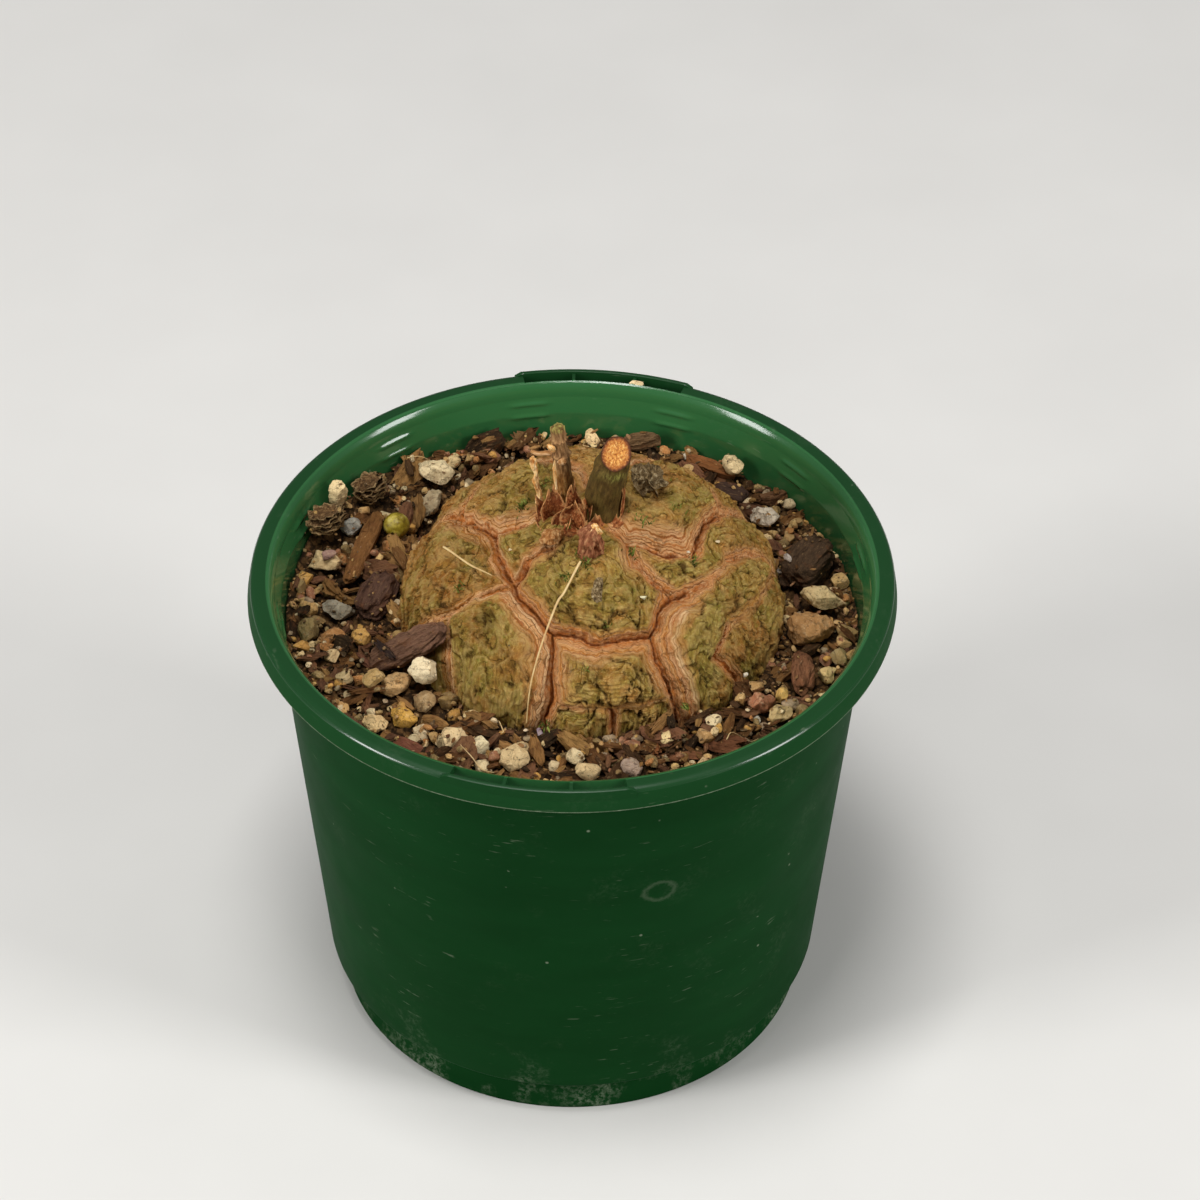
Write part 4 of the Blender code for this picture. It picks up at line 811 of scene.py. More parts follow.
def pot(green):
    """The moulded pot with its drain holes, and the two lips behind the label slots."""
    profile = rounded_profile(pot_corners(), PROFILE_STEP)
    # Finer rows where the lugs are
    inside = (profile[:, 1] > POT_HEIGHT - 10) & (np.arange(len(profile)) < profile[:, 1].argmax())
    first, last = np.flatnonzero(inside & (profile[:, 1] < POT_HEIGHT - 2.2))[[0, -1]]
    heights = np.arange(profile[first, 1], profile[last, 1], LUG_ROWS)
    fine = np.stack([wall_radius(heights), heights], axis=1)
    profile = np.concatenate([profile[:first], fine, profile[last + 1:]])
    bearing = np.linspace(0, 360, POT_SEGMENTS, endpoint=False)
    turn = np.radians(bearing)
    ring = profile[1:-1]
    radius = ring[:, :1] - stacking_lugs(bearing, ring)
    # The wall is a touch out of round, more so towards the top
    radius = radius + OUT_OF_ROUND * np.sin(2 * turn + 0.7)[None, :] * smooth_step(20, 80, ring[:, 1:2])
    points = np.stack([radius * np.cos(turn), radius * np.sin(turn),
                       np.repeat(ring[:, 1:2], len(turn), axis=1)], axis=-1).reshape(-1, 3)
    points = np.concatenate([points, [[0, 0, profile[0, 1]], [0, 0, profile[-1, 1]]]])
    faces = outward(points, closed_rows(len(ring), POT_SEGMENTS))
    body = piece("pot_shell", points, faces, green, "pot", ("pot",), sharp=38)
    cut = body.modifiers.new("Slots", "BOOLEAN")
    cutter = slot_cutter()
    cut.operation, cut.solver, cut.object = "DIFFERENCE", "EXACT", cutter
    bpy.context.view_layer.objects.active = body
    bpy.ops.object.modifier_apply(modifier="Slots")
    bpy.data.objects.remove(cutter)
    body.data.set_sharp_from_angle(angle=math.radians(38))
    for side, bearing in zip(("front", "rear"), SLOT_BEARINGS):
        points, faces = label_lip(bearing)
        piece(f"label_lip_{side}", points, outward(points, faces), green, "pot", sharp=38)


# ---------------------------------------------------------------- caudex

# Junctions of the fissures: bearing from the front, turning to the right, and tilt from the top,
# both in degrees
JUNCTIONS = {
    "heart_left": (-34, 12), "heart_right": (24, 11), "heart_far_right": (165, 9),
    "heart_far_left": (-165, 10), "heart_side": (-85, 11),
    "brow_left": (-43, 38), "brow_mid": (-45, 29), "brow_in": (-36, 21),
    "chin_left": (-17, 49), "chin_mid": (2, 51), "chin_right": (23, 52),
    "brow_right": (39, 40), "notch_low": (35, 33), "notch_mid": (32, 26), "notch_top": (36, 18),
    "cheek_in": (-76, 23), "cheek_left": (-80, 33), "cheek_mid": (-64, 35),
    "cheek_out": (-91, 37), "cheek_far": (-104, 46),
    "shelf_mid": (55, 28), "shelf_end": (65, 34), "shelf_up": (96, 38), "shelf_far": (107, 46),
    "rear_right": (128, 50), "rear_mid_right": (152, 48), "rear_in_right": (165, 22),
    "rear_mid": (180, 52), "rear_mid_left": (-152, 48), "rear_in_left": (-165, 24),
    "rear_left": (-127, 50),
    "side_right": (118, 62), "side_right_foot": (120, 118), "flank_foot": (98, 118),
    "flank_low": (97, 74), "flank_high": (95, 60), "flank_in": (77, 47), "flank_mid": (59, 45),
    "flank_start": (47, 42), "ridge_a": (72, 66), "ridge_b": (53, 61), "ridge_c": (43, 68),
    "ridge_d": (49, 83), "ridge_foot": (50, 118),
    "seam_a": (24, 68), "seam_b": (26, 84), "seam_foot": (27, 118),
    "skirt_a": (25, 76), "skirt_b": (14, 77), "skirt_c": (6, 76), "skirt_d": (-4, 75),
    "split_foot": (5, 118),
    "gully_a": (-14, 74), "gully_b": (-15, 84), "gully_foot": (-15, 118),
    "jaw_a": (-53, 48), "jaw_b": (-60, 60), "jaw_c": (-54, 70), "jaw_d": (-47, 86),
    "jaw_foot": (-47, 118), "temple_a": (-68, 78), "temple_foot": (-78, 118),
    "ear_a": (-112, 62), "ear_foot": (-114, 118),
    "back_foot_left": (-152, 118), "back_foot_right": (152, 118),
}

# Each plate: its bulge, how brown it is, and a loop of junctions, each with the width of the
# plate's side along the edge to the next one and the depth of the fissure there
PLATES = {
    "heart": (0.0, 0.2, (("heart_left", 2, 0.2), ("heart_right", 2, 0.2),
        ("heart_far_right", 2, 0.2), ("heart_far_left", 2, 0.2), ("heart_side", 2, 0.2))),
    "front": (0.9, 0, (("heart_left", 2, 0.3), ("brow_in", 2.6, 0.7), ("brow_mid", 3, 1),
        ("brow_left", 3.4, 1), ("chin_left", 2.6, 1), ("chin_mid", 2.4, 1), ("chin_right", 2.6, 1),
        ("brow_right", 2, 1), ("notch_low", 2.2, 0.9), ("notch_mid", 3.4, 0.8),
        ("notch_top", 2.4, 0.8), ("heart_right", 2, 0.2))),
    "wedge": (0.2, 0.3, (("heart_side", 2, 0.6), ("cheek_in", 2, 0.8), ("cheek_left", 1.6, 0.9),
        ("cheek_mid", 2, 1), ("brow_left", 2.6, 1), ("brow_mid", 2.6, 0.8), ("brow_in", 2, 0.6),
        ("heart_left", 2, 0.2))),
    "left_bump": (1.3, 0.35, (("heart_side", 5, 0.6), ("cheek_in", 6, 0.9), ("cheek_left", 3, 1),
        ("cheek_out", 3, 1), ("cheek_far", 2.4, 0.8), ("rear_left", 2.4, 0.8),
        ("rear_mid_left", 3, 0.9), ("rear_in_left", 3, 0.6), ("heart_far_left", 2, 0.2))),
    "right_shelf": (1.5, 0.15, (("heart_right", 8, 0.8), ("notch_top", 8.5, 1),
        ("shelf_mid", 8.5, 1), ("shelf_end", 4, 1), ("shelf_up", 3, 1), ("shelf_far", 2.6, 0.8),
        ("rear_right", 2.6, 0.8), ("rear_mid_right", 3, 0.9), ("rear_in_right", 3, 0.6),
        ("heart_far_right", 2, 0.2))),
    "rear_top": (1.1, 0.3, (("heart_far_right", 3, 0.6), ("rear_in_right", 3, 1),
        ("rear_mid_right", 4, 1), ("rear_mid", 4, 1), ("rear_mid_left", 3, 1),
        ("rear_in_left", 3, 0.6), ("heart_far_left", 2, 0.2))),
    "right_tongue": (0.4, 0.2, (("notch_top", 2.2, 1), ("shelf_mid", 2, 1), ("shelf_end", 2, 1),
        ("shelf_up", 2.4, 1), ("shelf_far", 2.6, 0.8), ("side_right", 3, 0.8),
        ("side_right_foot", 3, 0), ("flank_foot", 3, 0.7), ("flank_low", 2.6, 0.8),
        ("flank_high", 2.6, 0.8), ("flank_in", 2.2, 0.6), ("flank_mid", 2.4, 0.9),
        ("flank_start", 2, 1), ("brow_right", 2.6, 0.9), ("notch_low", 3, 0.8),
        ("notch_mid", 2.4, 0.8))),
    "right_big": (1.0, 0.1, (("brow_right", 4, 1), ("flank_start", 2.4, 0.9),
        ("flank_mid", 2.2, 0.6), ("flank_in", 2.2, 0.8), ("flank_high", 2.6, 0.8),
        ("flank_low", 2, 0.5), ("ridge_a", 2, 0.4), ("ridge_b", 1.8, 0.7), ("ridge_c", 2, 0.8),
        ("ridge_d", 2, 0.8), ("ridge_foot", 3, 0), ("seam_foot", 5, 1), ("seam_b", 6, 1),
        ("seam_a", 7.4, 1), ("chin_right", 7, 1))),
    "right_low": (0.2, 0.6, (("flank_low", 2, 0.5), ("ridge_a", 2, 0.4), ("ridge_b", 2, 0.7),
        ("ridge_c", 3, 0.8), ("ridge_d", 3, 0.8), ("ridge_foot", 3, 0), ("flank_foot", 3, 0.7))),
    "lower_front": (0.7, 0.1, (("chin_left", 4.4, 1), ("chin_mid", 4.6, 1), ("chin_right", 4.2, 1),
        ("seam_a", 3.2, 1), ("skirt_a", 1.4, 0.4), ("skirt_b", 1.4, 0.4), ("skirt_c", 1.4, 0.4),
        ("skirt_d", 1.6, 0.6), ("gully_a", 4.2, 1))),
    "toe_left": (0.1, 0.2, (("gully_a", 1.8, 0.6), ("skirt_d", 1.4, 0.4), ("skirt_c", 2, 0.9),
        ("split_foot", 2, 0), ("gully_foot", 2.4, 0.9), ("gully_b", 2.4, 1))),
    "toe_right": (0.2, 0.2, (("skirt_c", 1.4, 0.4), ("skirt_b", 1.4, 0.4), ("skirt_a", 2, 0.9),
        ("seam_b", 2.4, 1), ("seam_foot", 2.4, 0), ("split_foot", 2, 0.9))),
    "lower_left": (0.8, 0.45, (("brow_left", 6, 1), ("chin_left", 5.4, 1), ("gully_a", 5, 1),
        ("gully_b", 4, 1), ("gully_foot", 3, 0), ("jaw_foot", 2, 0.8), ("jaw_d", 1.8, 0.8),
        ("jaw_c", 1.6, 0.7), ("jaw_b", 1.8, 0.6), ("jaw_a", 2.4, 0.9))),
    "jaw": (0.0, 0.8, (("jaw_b", 2, 0.6), ("temple_a", 2.4, 0.7), ("temple_foot", 3, 0),
        ("jaw_foot", 2.4, 0.8), ("jaw_d", 2.4, 0.8), ("jaw_c", 2, 0.7))),
    "left_big": (0.6, 0.8, (("cheek_mid", 2, 1), ("cheek_left", 4, 1), ("cheek_out", 5, 1),
        ("cheek_far", 3, 0.8), ("ear_a", 3, 0.8), ("ear_foot", 3, 0), ("temple_foot", 2.4, 0.7),
        ("temple_a", 2.4, 0.6), ("jaw_b", 1.8, 0.6), ("jaw_a", 2.4, 0.9), ("brow_left", 2.6, 1))),
    "right_rear_low": (0.6, 0.4, (("shelf_far", 2.6, 0.8), ("rear_right", 3, 0.9),
        ("rear_mid_right", 3, 0.9), ("back_foot_right", 3, 0), ("side_right_foot", 3, 0.8),
        ("side_right", 3, 0.8))),
    "rear_low": (0.8, 0.5, (("rear_mid_right", 3, 1), ("rear_mid", 3, 1), ("rear_mid_left", 3, 0.9),
        ("back_foot_left", 3, 0), ("back_foot_right", 3, 0.9))),
    "left_rear_low": (0.6, 0.6, (("cheek_far", 2.6, 0.8), ("rear_left", 3, 0.8),
        ("rear_mid_left", 3, 0.9), ("back_foot_left", 3, 0), ("ear_foot", 3, 0.8), ("ear_a", 3, 0.8))),
}

# Cracks that show inside the plates, as runs of (bearing, tilt)
CRACKS = (
    ((-3, 65), (1, 66), (4, 71), (6, 77)), ((2, 60), (1, 66)), ((47, 42), (50, 48), (52, 51)),
    ((70, 44), (73, 52), (72, 60)), ((73, 49), (67, 54), (62, 56), (59, 62), (58, 70), (56, 76)),
    ((40, 63), (41, 68), (40, 80), (39, 87)), ((36, 70), (34, 81), (35, 91)),
    ((6, 57), (12, 59), (15, 65), (16, 72), (14, 77)), ((10, 78), (16, 77)), ((21, 38), (14, 41)),
    ((5, 36), (4, 41)), ((17, 25), (14, 29)), ((24, 33), (16, 37)), ((-11, 31), (-4, 29)),
    ((-17, 37), (-9, 40)), ((123, 25), (106, 20)), ((141, 54), (136, 57)), ((-48, 47), (-41, 51), (-39, 57)),
    ((-43, 60), (-41, 63), (-43, 69)), ((-62, 56), (-55, 61)), ((-71, 42), (-61, 44)),
    ((-72, 64), (-61, 74)), ((-33, 63), (-29, 68)), ((-29, 71), (-24, 70)), ((49, 36), (54, 40), (55, 42)),
    ((75, 45), (70, 48)), ((-133, 57), (-134, 51)), ((51, 89), (49, 95)), ((70, 72), (68, 80)),
)
SMALL_CRACKS = 90
EDGE_STEP = 3.0


def dome(bearing, tilt, out=0.0):
    """Points of the dome, as rows, and its outward normals there; out moves along the normal."""
    a, t = np.radians(np.atleast_1d(bearing)), np.radians(np.atleast_1d(tilt))
    high = np.where(t > math.pi / 2, DOME_BURIED, DOME_HEIGHT)
    flat = np.stack([np.sin(t) * np.sin(a), -np.sin(t) * np.cos(a), np.cos(t)], axis=-1)
    size = np.stack([np.full_like(high, DOME_RADIUS), np.full_like(high, DOME_RADIUS), high], axis=-1)
    normal = unit(flat / size)
    return flat * size + (DOME_X, DOME_Y, DOME_BASE) + normal * np.reshape(out, (-1, 1)), normal


def on_dome(x, y, out=0.0):
    """The point of the dome over (x, y), moved out along its normal, and the normal."""
    tilt = math.degrees(math.asin(math.hypot(x - DOME_X, y - DOME_Y) / DOME_RADIUS))
    point, normal = dome(math.degrees(math.atan2(x - DOME_X, DOME_Y - y)), tilt, out)
    return point[0], normal[0]


def flat_map(bearing, tilt):
    """Places on the flat map of the dome: the tilt is the distance from its middle."""
    a = np.radians(bearing)
    return np.stack([tilt * np.sin(a), -tilt * np.cos(a)], axis=-1)


def map_bearing_tilt(flat):
    """The bearings and tilts of places on the flat map."""
    return np.degrees(np.arctan2(flat[:, 0], -flat[:, 1])), np.hypot(flat[:, 0], flat[:, 1])


def edge_run(start, end):
    """The points along one fissure edge on the dome, straight on the flat map."""
    a, b = flat_map(*map(float, start)), flat_map(*map(float, end))
    count = max(2, int(np.hypot(*(b - a)) / EDGE_STEP) + 1)
    return dome(*map_bearing_tilt(a + (b - a) * np.linspace(0, 1, count)[:, None]))[0]


def crack_run(stops):
    """The points along a crack on the dome, up to its last stop."""
    return np.concatenate([edge_run(a, b)[:-1] for a, b in zip(stops, stops[1:])])


def distance_to_run(points, run):
    """Shortest distance from each point to a run of straight pieces."""
    best = np.full(len(points), 99.0)
    for a, b in zip(run[:-1], run[1:]):
        along = b - a
        t = np.clip((points - a) @ along / (along @ along), 0, 1)
        best = np.minimum(best, np.linalg.norm(points - a - t[:, None] * along, axis=1))
    return best


def inside_loop(flat, loop):
    """Which points of the flat map lie inside a loop of junctions."""
    corners = [flat_map(*map(float, JUNCTIONS[name])) for name in loop]
    odd = np.zeros(len(flat), bool)
    for (ax, ay), (bx, by) in zip(corners, corners[1:] + corners[:1]):
        if ay != by:
            crosses = (ay > flat[:, 1]) != (by > flat[:, 1])
            odd ^= crosses & (flat[:, 0] < ax + (flat[:, 1] - ay) * (bx - ax) / (by - ay))
    return odd


def small_cracks(chance):
    """Short drying cracks, most of them running down the dome, as (run, width, depth)."""
    found = []
    for _ in range(SMALL_CRACKS):
        bearing, tilt = chance.uniform(-180, 180), math.degrees(math.acos(chance.uniform(-0.08, 0.97)))
        slant, length = chance.gauss(0, 0.5), chance.uniform(3, 9)
        stops = []
        for _ in range(4):
            stops.append((bearing, min(tilt, 98)))
            slant += chance.gauss(0, 0.45)
            tilt += math.cos(slant) * length / 3 * 1.5
            bearing += math.sin(slant) * length / 3 * 1.5 / max(0.3, math.sin(math.radians(tilt)))
        found.append((crack_run(stops), chance.uniform(0.22, 0.42), chance.uniform(0.4, 1.0)))
    return found


def plate_reading(points, edges):
    """Of points inside a plate: how far up its side each is (1 on top), and the distance to the
    nearest fissure."""
    level, gap = np.ones(len(points)), np.full(len(points), 30.0)
    breadth = 1.0 + 0.22 * rough(points, 7, 61, 3)
    for (name, width, depth), (following, _, _) in zip(edges, edges[1:] + edges[:1]):
        if depth == 0:
            continue
        away = distance_to_run(points, edge_run(JUNCTIONS[name], JUNCTIONS[following]))
        level = np.minimum(level, 1 - depth * (1 - np.clip(away / (width * breadth), 0, 1)))
        gap = np.minimum(gap, away + 3 * (1 - depth))
    return level, gap


def caudex_reading(flat):
    """Everything the bark shows at each point of the flat map, by name."""
    points, _ = dome(*map_bearing_tilt(flat))
    swayed = flat + wobble(points, 6, (1, 2), 4, 0.55) * 1.3
    at, _ = dome(*map_bearing_tilt(swayed))
    found = {key: np.zeros(len(flat)) for key in ("skirt", "gap", "tone", "crack", "height")}
    for bulge, tone, edges in PLATES.values():
        own = inside_loop(swayed, [name for name, _, _ in edges])
        if not own.any():
            continue
        level, gap = plate_reading(at[own], edges)
        step = 0.5 * level + 0.5 * np.sin(level * math.pi / 2)
        height = FISSURE_DEPTH * (step - 1) + bulge * PLATE_BULGE * smooth_step(0, 1, step)
        for key, value in zip(("skirt", "gap", "tone", "height"), (level, gap, tone, height)):
            found[key][own] = value
    cracks = [(np.concatenate([crack_run(run), edge_run(*run[-2:])[-1:]]), 0.42, 1.0) for run in CRACKS]
    for run, width, depth in cracks + small_cracks(random.Random(12)):
        near = np.linalg.norm(points - run.mean(0), axis=1) < 9 + np.ptp(run, axis=0).max()
        wander = points[near] + 0.55 * wobble(points[near], 1.8, (7, 8, 9), 2)
        broken = np.clip(0.75 + 0.6 * lattice_noise(points[near] / 2.2, 10), 0.1, 1)
        mark = depth * broken * np.exp(-(distance_to_run(wander, run) / width) ** 2)
        found["crack"][near] = np.maximum(found["crack"][near], mark)
    found["crack"] *= smooth_step(0.3, 0.9, found["skirt"])
    return points, found


def mossy(points, skirt):
    """Where algae and moss grow: on the tops, in patches, most of all towards the front."""
    patch = rough(points, (7, 7, 9), 21, 3)
    front = 0.36 * smooth_step(20, -20, points[:, 1])
    return np.clip(0.42 + 0.55 * patch + front, 0, 1) * smooth_step(0.8, 1.0, skirt)


# Where something stands on the dome: x, y and the radius of its seat; the fourth is the sliver's
SEATS = ((*MAIN_STEM, 2.4), (*SAWN_STUB, 3.8), (*SHORT_STEM, 2.6), (-6.6, 4.6, 1.2), (*DEBRIS, 3.6))


def dome_grid(count):
    """Places on the flat map for a square grid bent into a disc, and their tilts: most of its
    rows lie above the mix."""
    axis = np.linspace(-1, 1, count)
    x, y = (rows.ravel() for rows in np.meshgrid(axis, axis, indexing="ij"))
    wide = np.abs(x) > np.abs(y)
    radius = np.where(wide, x, y)
    ratio = np.divide(np.where(wide, y, x), radius, out=np.zeros_like(x), where=np.abs(radius) > 1e-9)
    turn = np.where(wide, ratio * math.pi / 4, math.pi / 2 - ratio * math.pi / 4)
    disc = np.stack([radius * np.cos(turn), radius * np.sin(turn)], axis=-1)
    share = np.hypot(disc[:, 0], disc[:, 1])
    tilt = np.interp(share, (0, DOME_SHARE_ABOVE, 1), (0, DOME_SOIL_LINE, DOME_EDGE))
    return disc * (tilt / np.maximum(share, 1e-6))[:, None], tilt


def caudex(cork):
    """The bark of the whole caudex, closed underneath."""
    count = DOME_CELLS + 1
    flat, tilt = dome_grid(count)
    points, found = caudex_reading(flat)
    top = smooth_step(0.55, 1.0, found["skirt"])
    # The tops break up into large and small flakes with open seams between some of them
    torn = points + 0.7 * wobble(points, 3, (51, 52, 53), 4, 0.6)
    large, _, large_edge = flakes(torn, (5.0, 5.0, 7.5), 60)
    small, shade, small_edge = flakes(torn, (2.0, 2.0, 3.2), 70)
    seam = np.exp(-(large_edge / 0.06) ** 2) * smooth_step(0.1, 0.45, rough(points, 5, 57, 3))
    some = smooth_step(0.25, 0.55, rough(points, 4, 58, 3))
    seam = np.maximum(seam, 0.5 * np.exp(-(small_edge / 0.12) ** 2) * some)
    found["crack"] = np.maximum(found["crack"], seam * (0.35 + 0.65 * top))
    # The sides step down from layer to layer, and the steps run on a little way onto the tops
    found["layer"] = found["gap"] / LAYER + 0.35 * rough(points, 4, 62, 4)
    part = found["layer"] % 1
    ledges = LAYER * (smooth_step(0, 0.35, part) - part) * (0.35 + 0.65 * np.exp(-found["gap"] / 5))
    # The tops are worn through layer by layer, so they step like the contours of a hill
    lumps = rough(points, (7, 7, 9), 41, 4, 0.6)
    worn = 1.0 * rough(points, (9, 9, 12), 41, 3) + 0.2 * rough(points, (3, 3, 5), 42, 3) + 0.3 * large
    worn = worn + 1.1 * np.minimum(found["gap"], 8) / 8
    found["worn"] = worn / WORN_STEP
    stepped = WORN_STEP * (np.floor(found["worn"]) + smooth_step(0, 0.3, found["worn"] % 1))
    # How far each point stands proud, from which the bark paints shade in the hollows and highlights on the
    # proud parts
    found["stand"] = 0.6 * lumps + 0.25 * large + 0.15 * small + 0.25 * (found["skirt"] - 1)
    relief = found["height"] - 0.5 * np.exp(-(found["gap"] / 0.4) ** 2) + 0.5 * ledges
    relief = relief + (1 - top) * 0.35 * lumps + top * (stepped + 0.4 * large + 0.22 * small - 1.0)
    relief = relief + 0.10 * rough(points, (1.0, 1.0, 1.4), 45, 2) - 0.85 * found["crack"]
    for sx, sy, reach in SEATS:
        near = np.hypot(points[:, 0] - sx, points[:, 1] - sy)
        relief = relief * smooth_step(reach, reach + 2.5, near) - 0.3 * (near < reach)
    # The buried part is smooth
    relief = relief * (1 - smooth_step(94, 112, tilt))
    shaped, _ = dome(*map_bearing_tilt(flat), relief)
    faces = grid_faces(count, count)
    # From the edge of the grid to one point below
    edge = np.concatenate([np.arange(count), np.arange(2, count + 1) * count - 1,
                           count * count - 2 - np.arange(count - 1),
                           (count - 2 - np.arange(count - 2)) * count])
    low = shaped[edge].mean(0) - (0, 0, 3)
    faces = [*faces, *(face[::-1] for face in fan(edge, len(shaped)))]
    shaped = np.concatenate([shaped, [low]])
    found["moss"], found["shade"] = mossy(points, found["skirt"]), shade
    del found["height"]
    piece("caudex_bark", shaped, outward(shaped, faces), cork, "caudex", ("caudex",), sharp=180,
          **{key: np.append(rows, 0) for key, rows in found.items()})


# ---------------------------------------------------------------- loose stones and bark

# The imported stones: colour, seed, how many flats, and how rough the skin is
GRAVEL = {
    "stone_cream_oval": ("E3CDA0", 3, 5, 0.9), "stone_oblong_grey_cream": ("A99878", 11, 7, 1.0),
    "stone_upright_cream": ("E6CC98", 5, 7, 0.9), "stone_grey_rear": ("A8A79C", 7, 8, 1.0),
    "stone_cream_long": ("DFC08C", 13, 5, 1.2), "stone_pale_chunk": ("EAD6AE", 17, 10, 1.3),
    "stone_tan_wedge": ("CDA26C", 19, 7, 0.9), "stone_grey_angular": ("8C8878", 23, 11, 1.1),
    "stone_orange_left": ("B47C48", 29, 8, 1.2), "stone_orange_round": ("CC9A50", 31, 8, 1.2),
    "stone_olive": ("77673F", 37, 5, 1.0), "stone_brown_round": ("9C7F58", 41, 7, 1.0),
    "stone_ochre": ("C8963E", 43, 8, 1.1), "stone_cream_flat": ("DDBB85", 47, 8, 1.1),
    "stone_cream_cube": ("E2C594", 53, 8, 1.1), "stone_pale_small": ("E4D3A8", 59, 8, 1.0),
    "stone_cream_front": ("D6B988", 61, 9, 0.9), "stone_front_pair_a": ("DCC69A", 67, 8, 1.0),
    "stone_front_pair_b": ("DABC8A", 71, 7, 0.9), "stone_mauve_wedge": ("A48C7C", 73, 9, 0.9),
    "stone_cream_rear": ("ECD09C", 79, 9, 1.0), "stone_grey_mauve": ("C8BAA4", 83, 9, 1.5),
    "stone_cream_tan_flat": ("DCC08A", 89, 9, 1.2), "stone_rough_brown": ("A87A4A", 97, 5, 2.4),
    "stone_olive_right": ("8A764A", 101, 7, 1.0), "stone_cream_right": ("DABA7C", 103, 9, 1.0),
    "stone_pink": ("94583F", 107, 8, 1.9), "stone_yellow": ("D3A95A", 109, 8, 1.1),
    "stone_olive_cream": ("B39A68", 113, 8, 1.2),
}

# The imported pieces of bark: colour, and how torn
BARK = {
    "stick_brown": ("8A5E34", 0.5), "bark_split_chunk": ("624638", 1.6),
    "bark_long_purple": ("7A5844", 1.6), "bark_red_front": ("86523E", 0.8),
    "bark_root_like": ("9A6238", 0.9), "bark_flat_dark": ("4E3A30", 0.8),
    "bark_nugget_dark": ("54402E", 1.4), "bark_red_right": ("84583C", 1.5),
    "bark_flake_rear": ("7A5E40", 0.9),
}


def tints(colour, count):
    """Rows of one colour."""
    return np.tile(linear(colour), (count, 1))


def gravel_stone(node, made, colour, seed, flats, roughness):
    """A packed stone with crisp broken faces, pits and a gritty skin."""
    low, high = packed_box(node)
    half, middle = (high - low) / 2, (high + low) / 2
    points, faces = refined(node, 3 if half.max() > 2.9 else 2)
    local = (points - middle) / half
    chance = random.Random(seed)
    reach = np.linalg.norm(local, axis=1).max()
    local = local / reach * 1.12 + 0.07 * wobble(local, 1.1, range(seed, seed + 3), 2)
    for _ in range(flats + 7):
        side = any_way(chance)
        away = local @ side
        past = np.clip(away - away.max() * chance.uniform(0.66, 0.92), 0, None)
        local = local - past[:, None] * side * 0.98
    local = 2 * (local - local.min(0)) / np.ptp(local, axis=0) - 1
    points = local * half + middle
    lie = points - middle + seed
    relief = roughness * (0.17 * rough(lie, 2.2, seed, 4, 0.6) + 0.07 * ridges(lie, 1.5, seed + 1))
    points = raised(points, faces, relief)
    piece(node + "_worn", points, faces, made, node, (node,), sharp=28,
          lie=lie, tint=tints(colour, len(points)))
    return points


def bark_piece(node, made, colour, torn):
    """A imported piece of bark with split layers, torn edges and a grain along its length."""
    points, faces = refined(node, 3)
    lie, axes = own_axes(points)
    skin = normals_of(points, faces)
    across = np.abs(skin @ axes[:, :2]).max(axis=1)
    leaf = np.floor(lie[:, 2] / 0.75 + 0.25 * lattice_noise(lie / (5, 2, 2), 3))
    inset = lattice_noise(np.column_stack([lie[:, 0] / 2.6, lie[:, 1] / 2.6, leaf * 3.7]), 9)
    relief = torn * (0.42 * inset * smooth_step(0.35, 0.8, across)
                     + 0.24 * rough(lie, (5.0, 1.3, 1.1), 5, 3) + 0.16 * ridges(lie, (7, 1.5, 1.5), 6))
    relief = np.minimum(relief, 0.45)
    points = points + skin * relief[:, None]
    piece(node + "_torn", points, faces, made, node, (node,), sharp=45,
          lie=lie, tint=tints(colour, len(points)))
    return points


def cone_scales(node, made, tip, leaves, seed):
    """Rotted cone scales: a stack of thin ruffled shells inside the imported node's box."""
    low, high = packed_box(node)
    half, middle = (high - low) / 2, (high + low) / 2
    chance = random.Random(seed)
    rings, around = 9, 60
    count = rings * around
    share, turn = np.repeat(np.linspace(0, 1, rings), around), np.tile(circle(around)[0], rings)
    upper = grid_faces(rings, around, True)
    rim = np.arange(around) + count - around
    side = [(a, b, b + count, a + count) for a, b in zip(rim, np.roll(rim, -1))]
    faces = [*upper[:, ::-1], *(upper + count), *side]
    parts = []
    for k in range(leaves):
        step = (k + 0.5) / leaves
        reach = half[0] * (0.98 - 0.35 * abs(step - 0.45)) * chance.uniform(0.86, 1)
        waves, phase = chance.randint(6, 10), chance.uniform(0, 6)
        edge = 1 + 0.10 * np.sin(waves * turn + phase) + 0.05 * np.sin(2.3 * waves * turn + 2 * phase)
        x = reach * share * edge * np.cos(turn)
        y = reach * half[1] / half[0] * share * edge * np.sin(turn)
        ruffle = 0.5 * share ** 3 * np.sin(waves * turn + phase + 1)
        z = half[2] * (1.7 * step - 0.85) + 0.9 * share ** 2 + ruffle
        lean = [chance.gauss(angle, 5) for angle in tip]
        shell = [turned(np.stack([x, y, z + lift * (1 - 0.4 * share)], axis=1), lean) + middle
                 for lift in (0, 0.42)]
        both = np.concatenate(shell)
        both = both + 0.10 * wobble(both, 1.6, range(seed, seed + 3), 2)
        parts.append((both, faces, np.tile(np.stack([x, y, z], 1), (2, 1)), np.tile(share, 2)))
    points, faces, lie, edge = joined(parts)
    points = np.clip(points, low - 0.6, high + 0.6)
    piece(node + "_shells", points, faces, made, node, (node,), lie=lie, edge=edge)
    return points


def prill(made):
    """The fertiliser bead."""
    points, faces = refined("prill", 2)
    middle = points.mean(0)
    away = unit(points - middle)
    # A small dent near its top
    dent = -0.25 * np.exp(-((1 - away @ unit(np.array([0.3, -0.2, 0.9]))) / 0.02) ** 2)
    points = middle + away * (2.9 + dent + 0.05 * rough(points, 1.8, 4, 2))[:, None]
    piece("prill_bead", points, faces, made, "prill", ("prill",))


# ---------------------------------------------------------------- mix

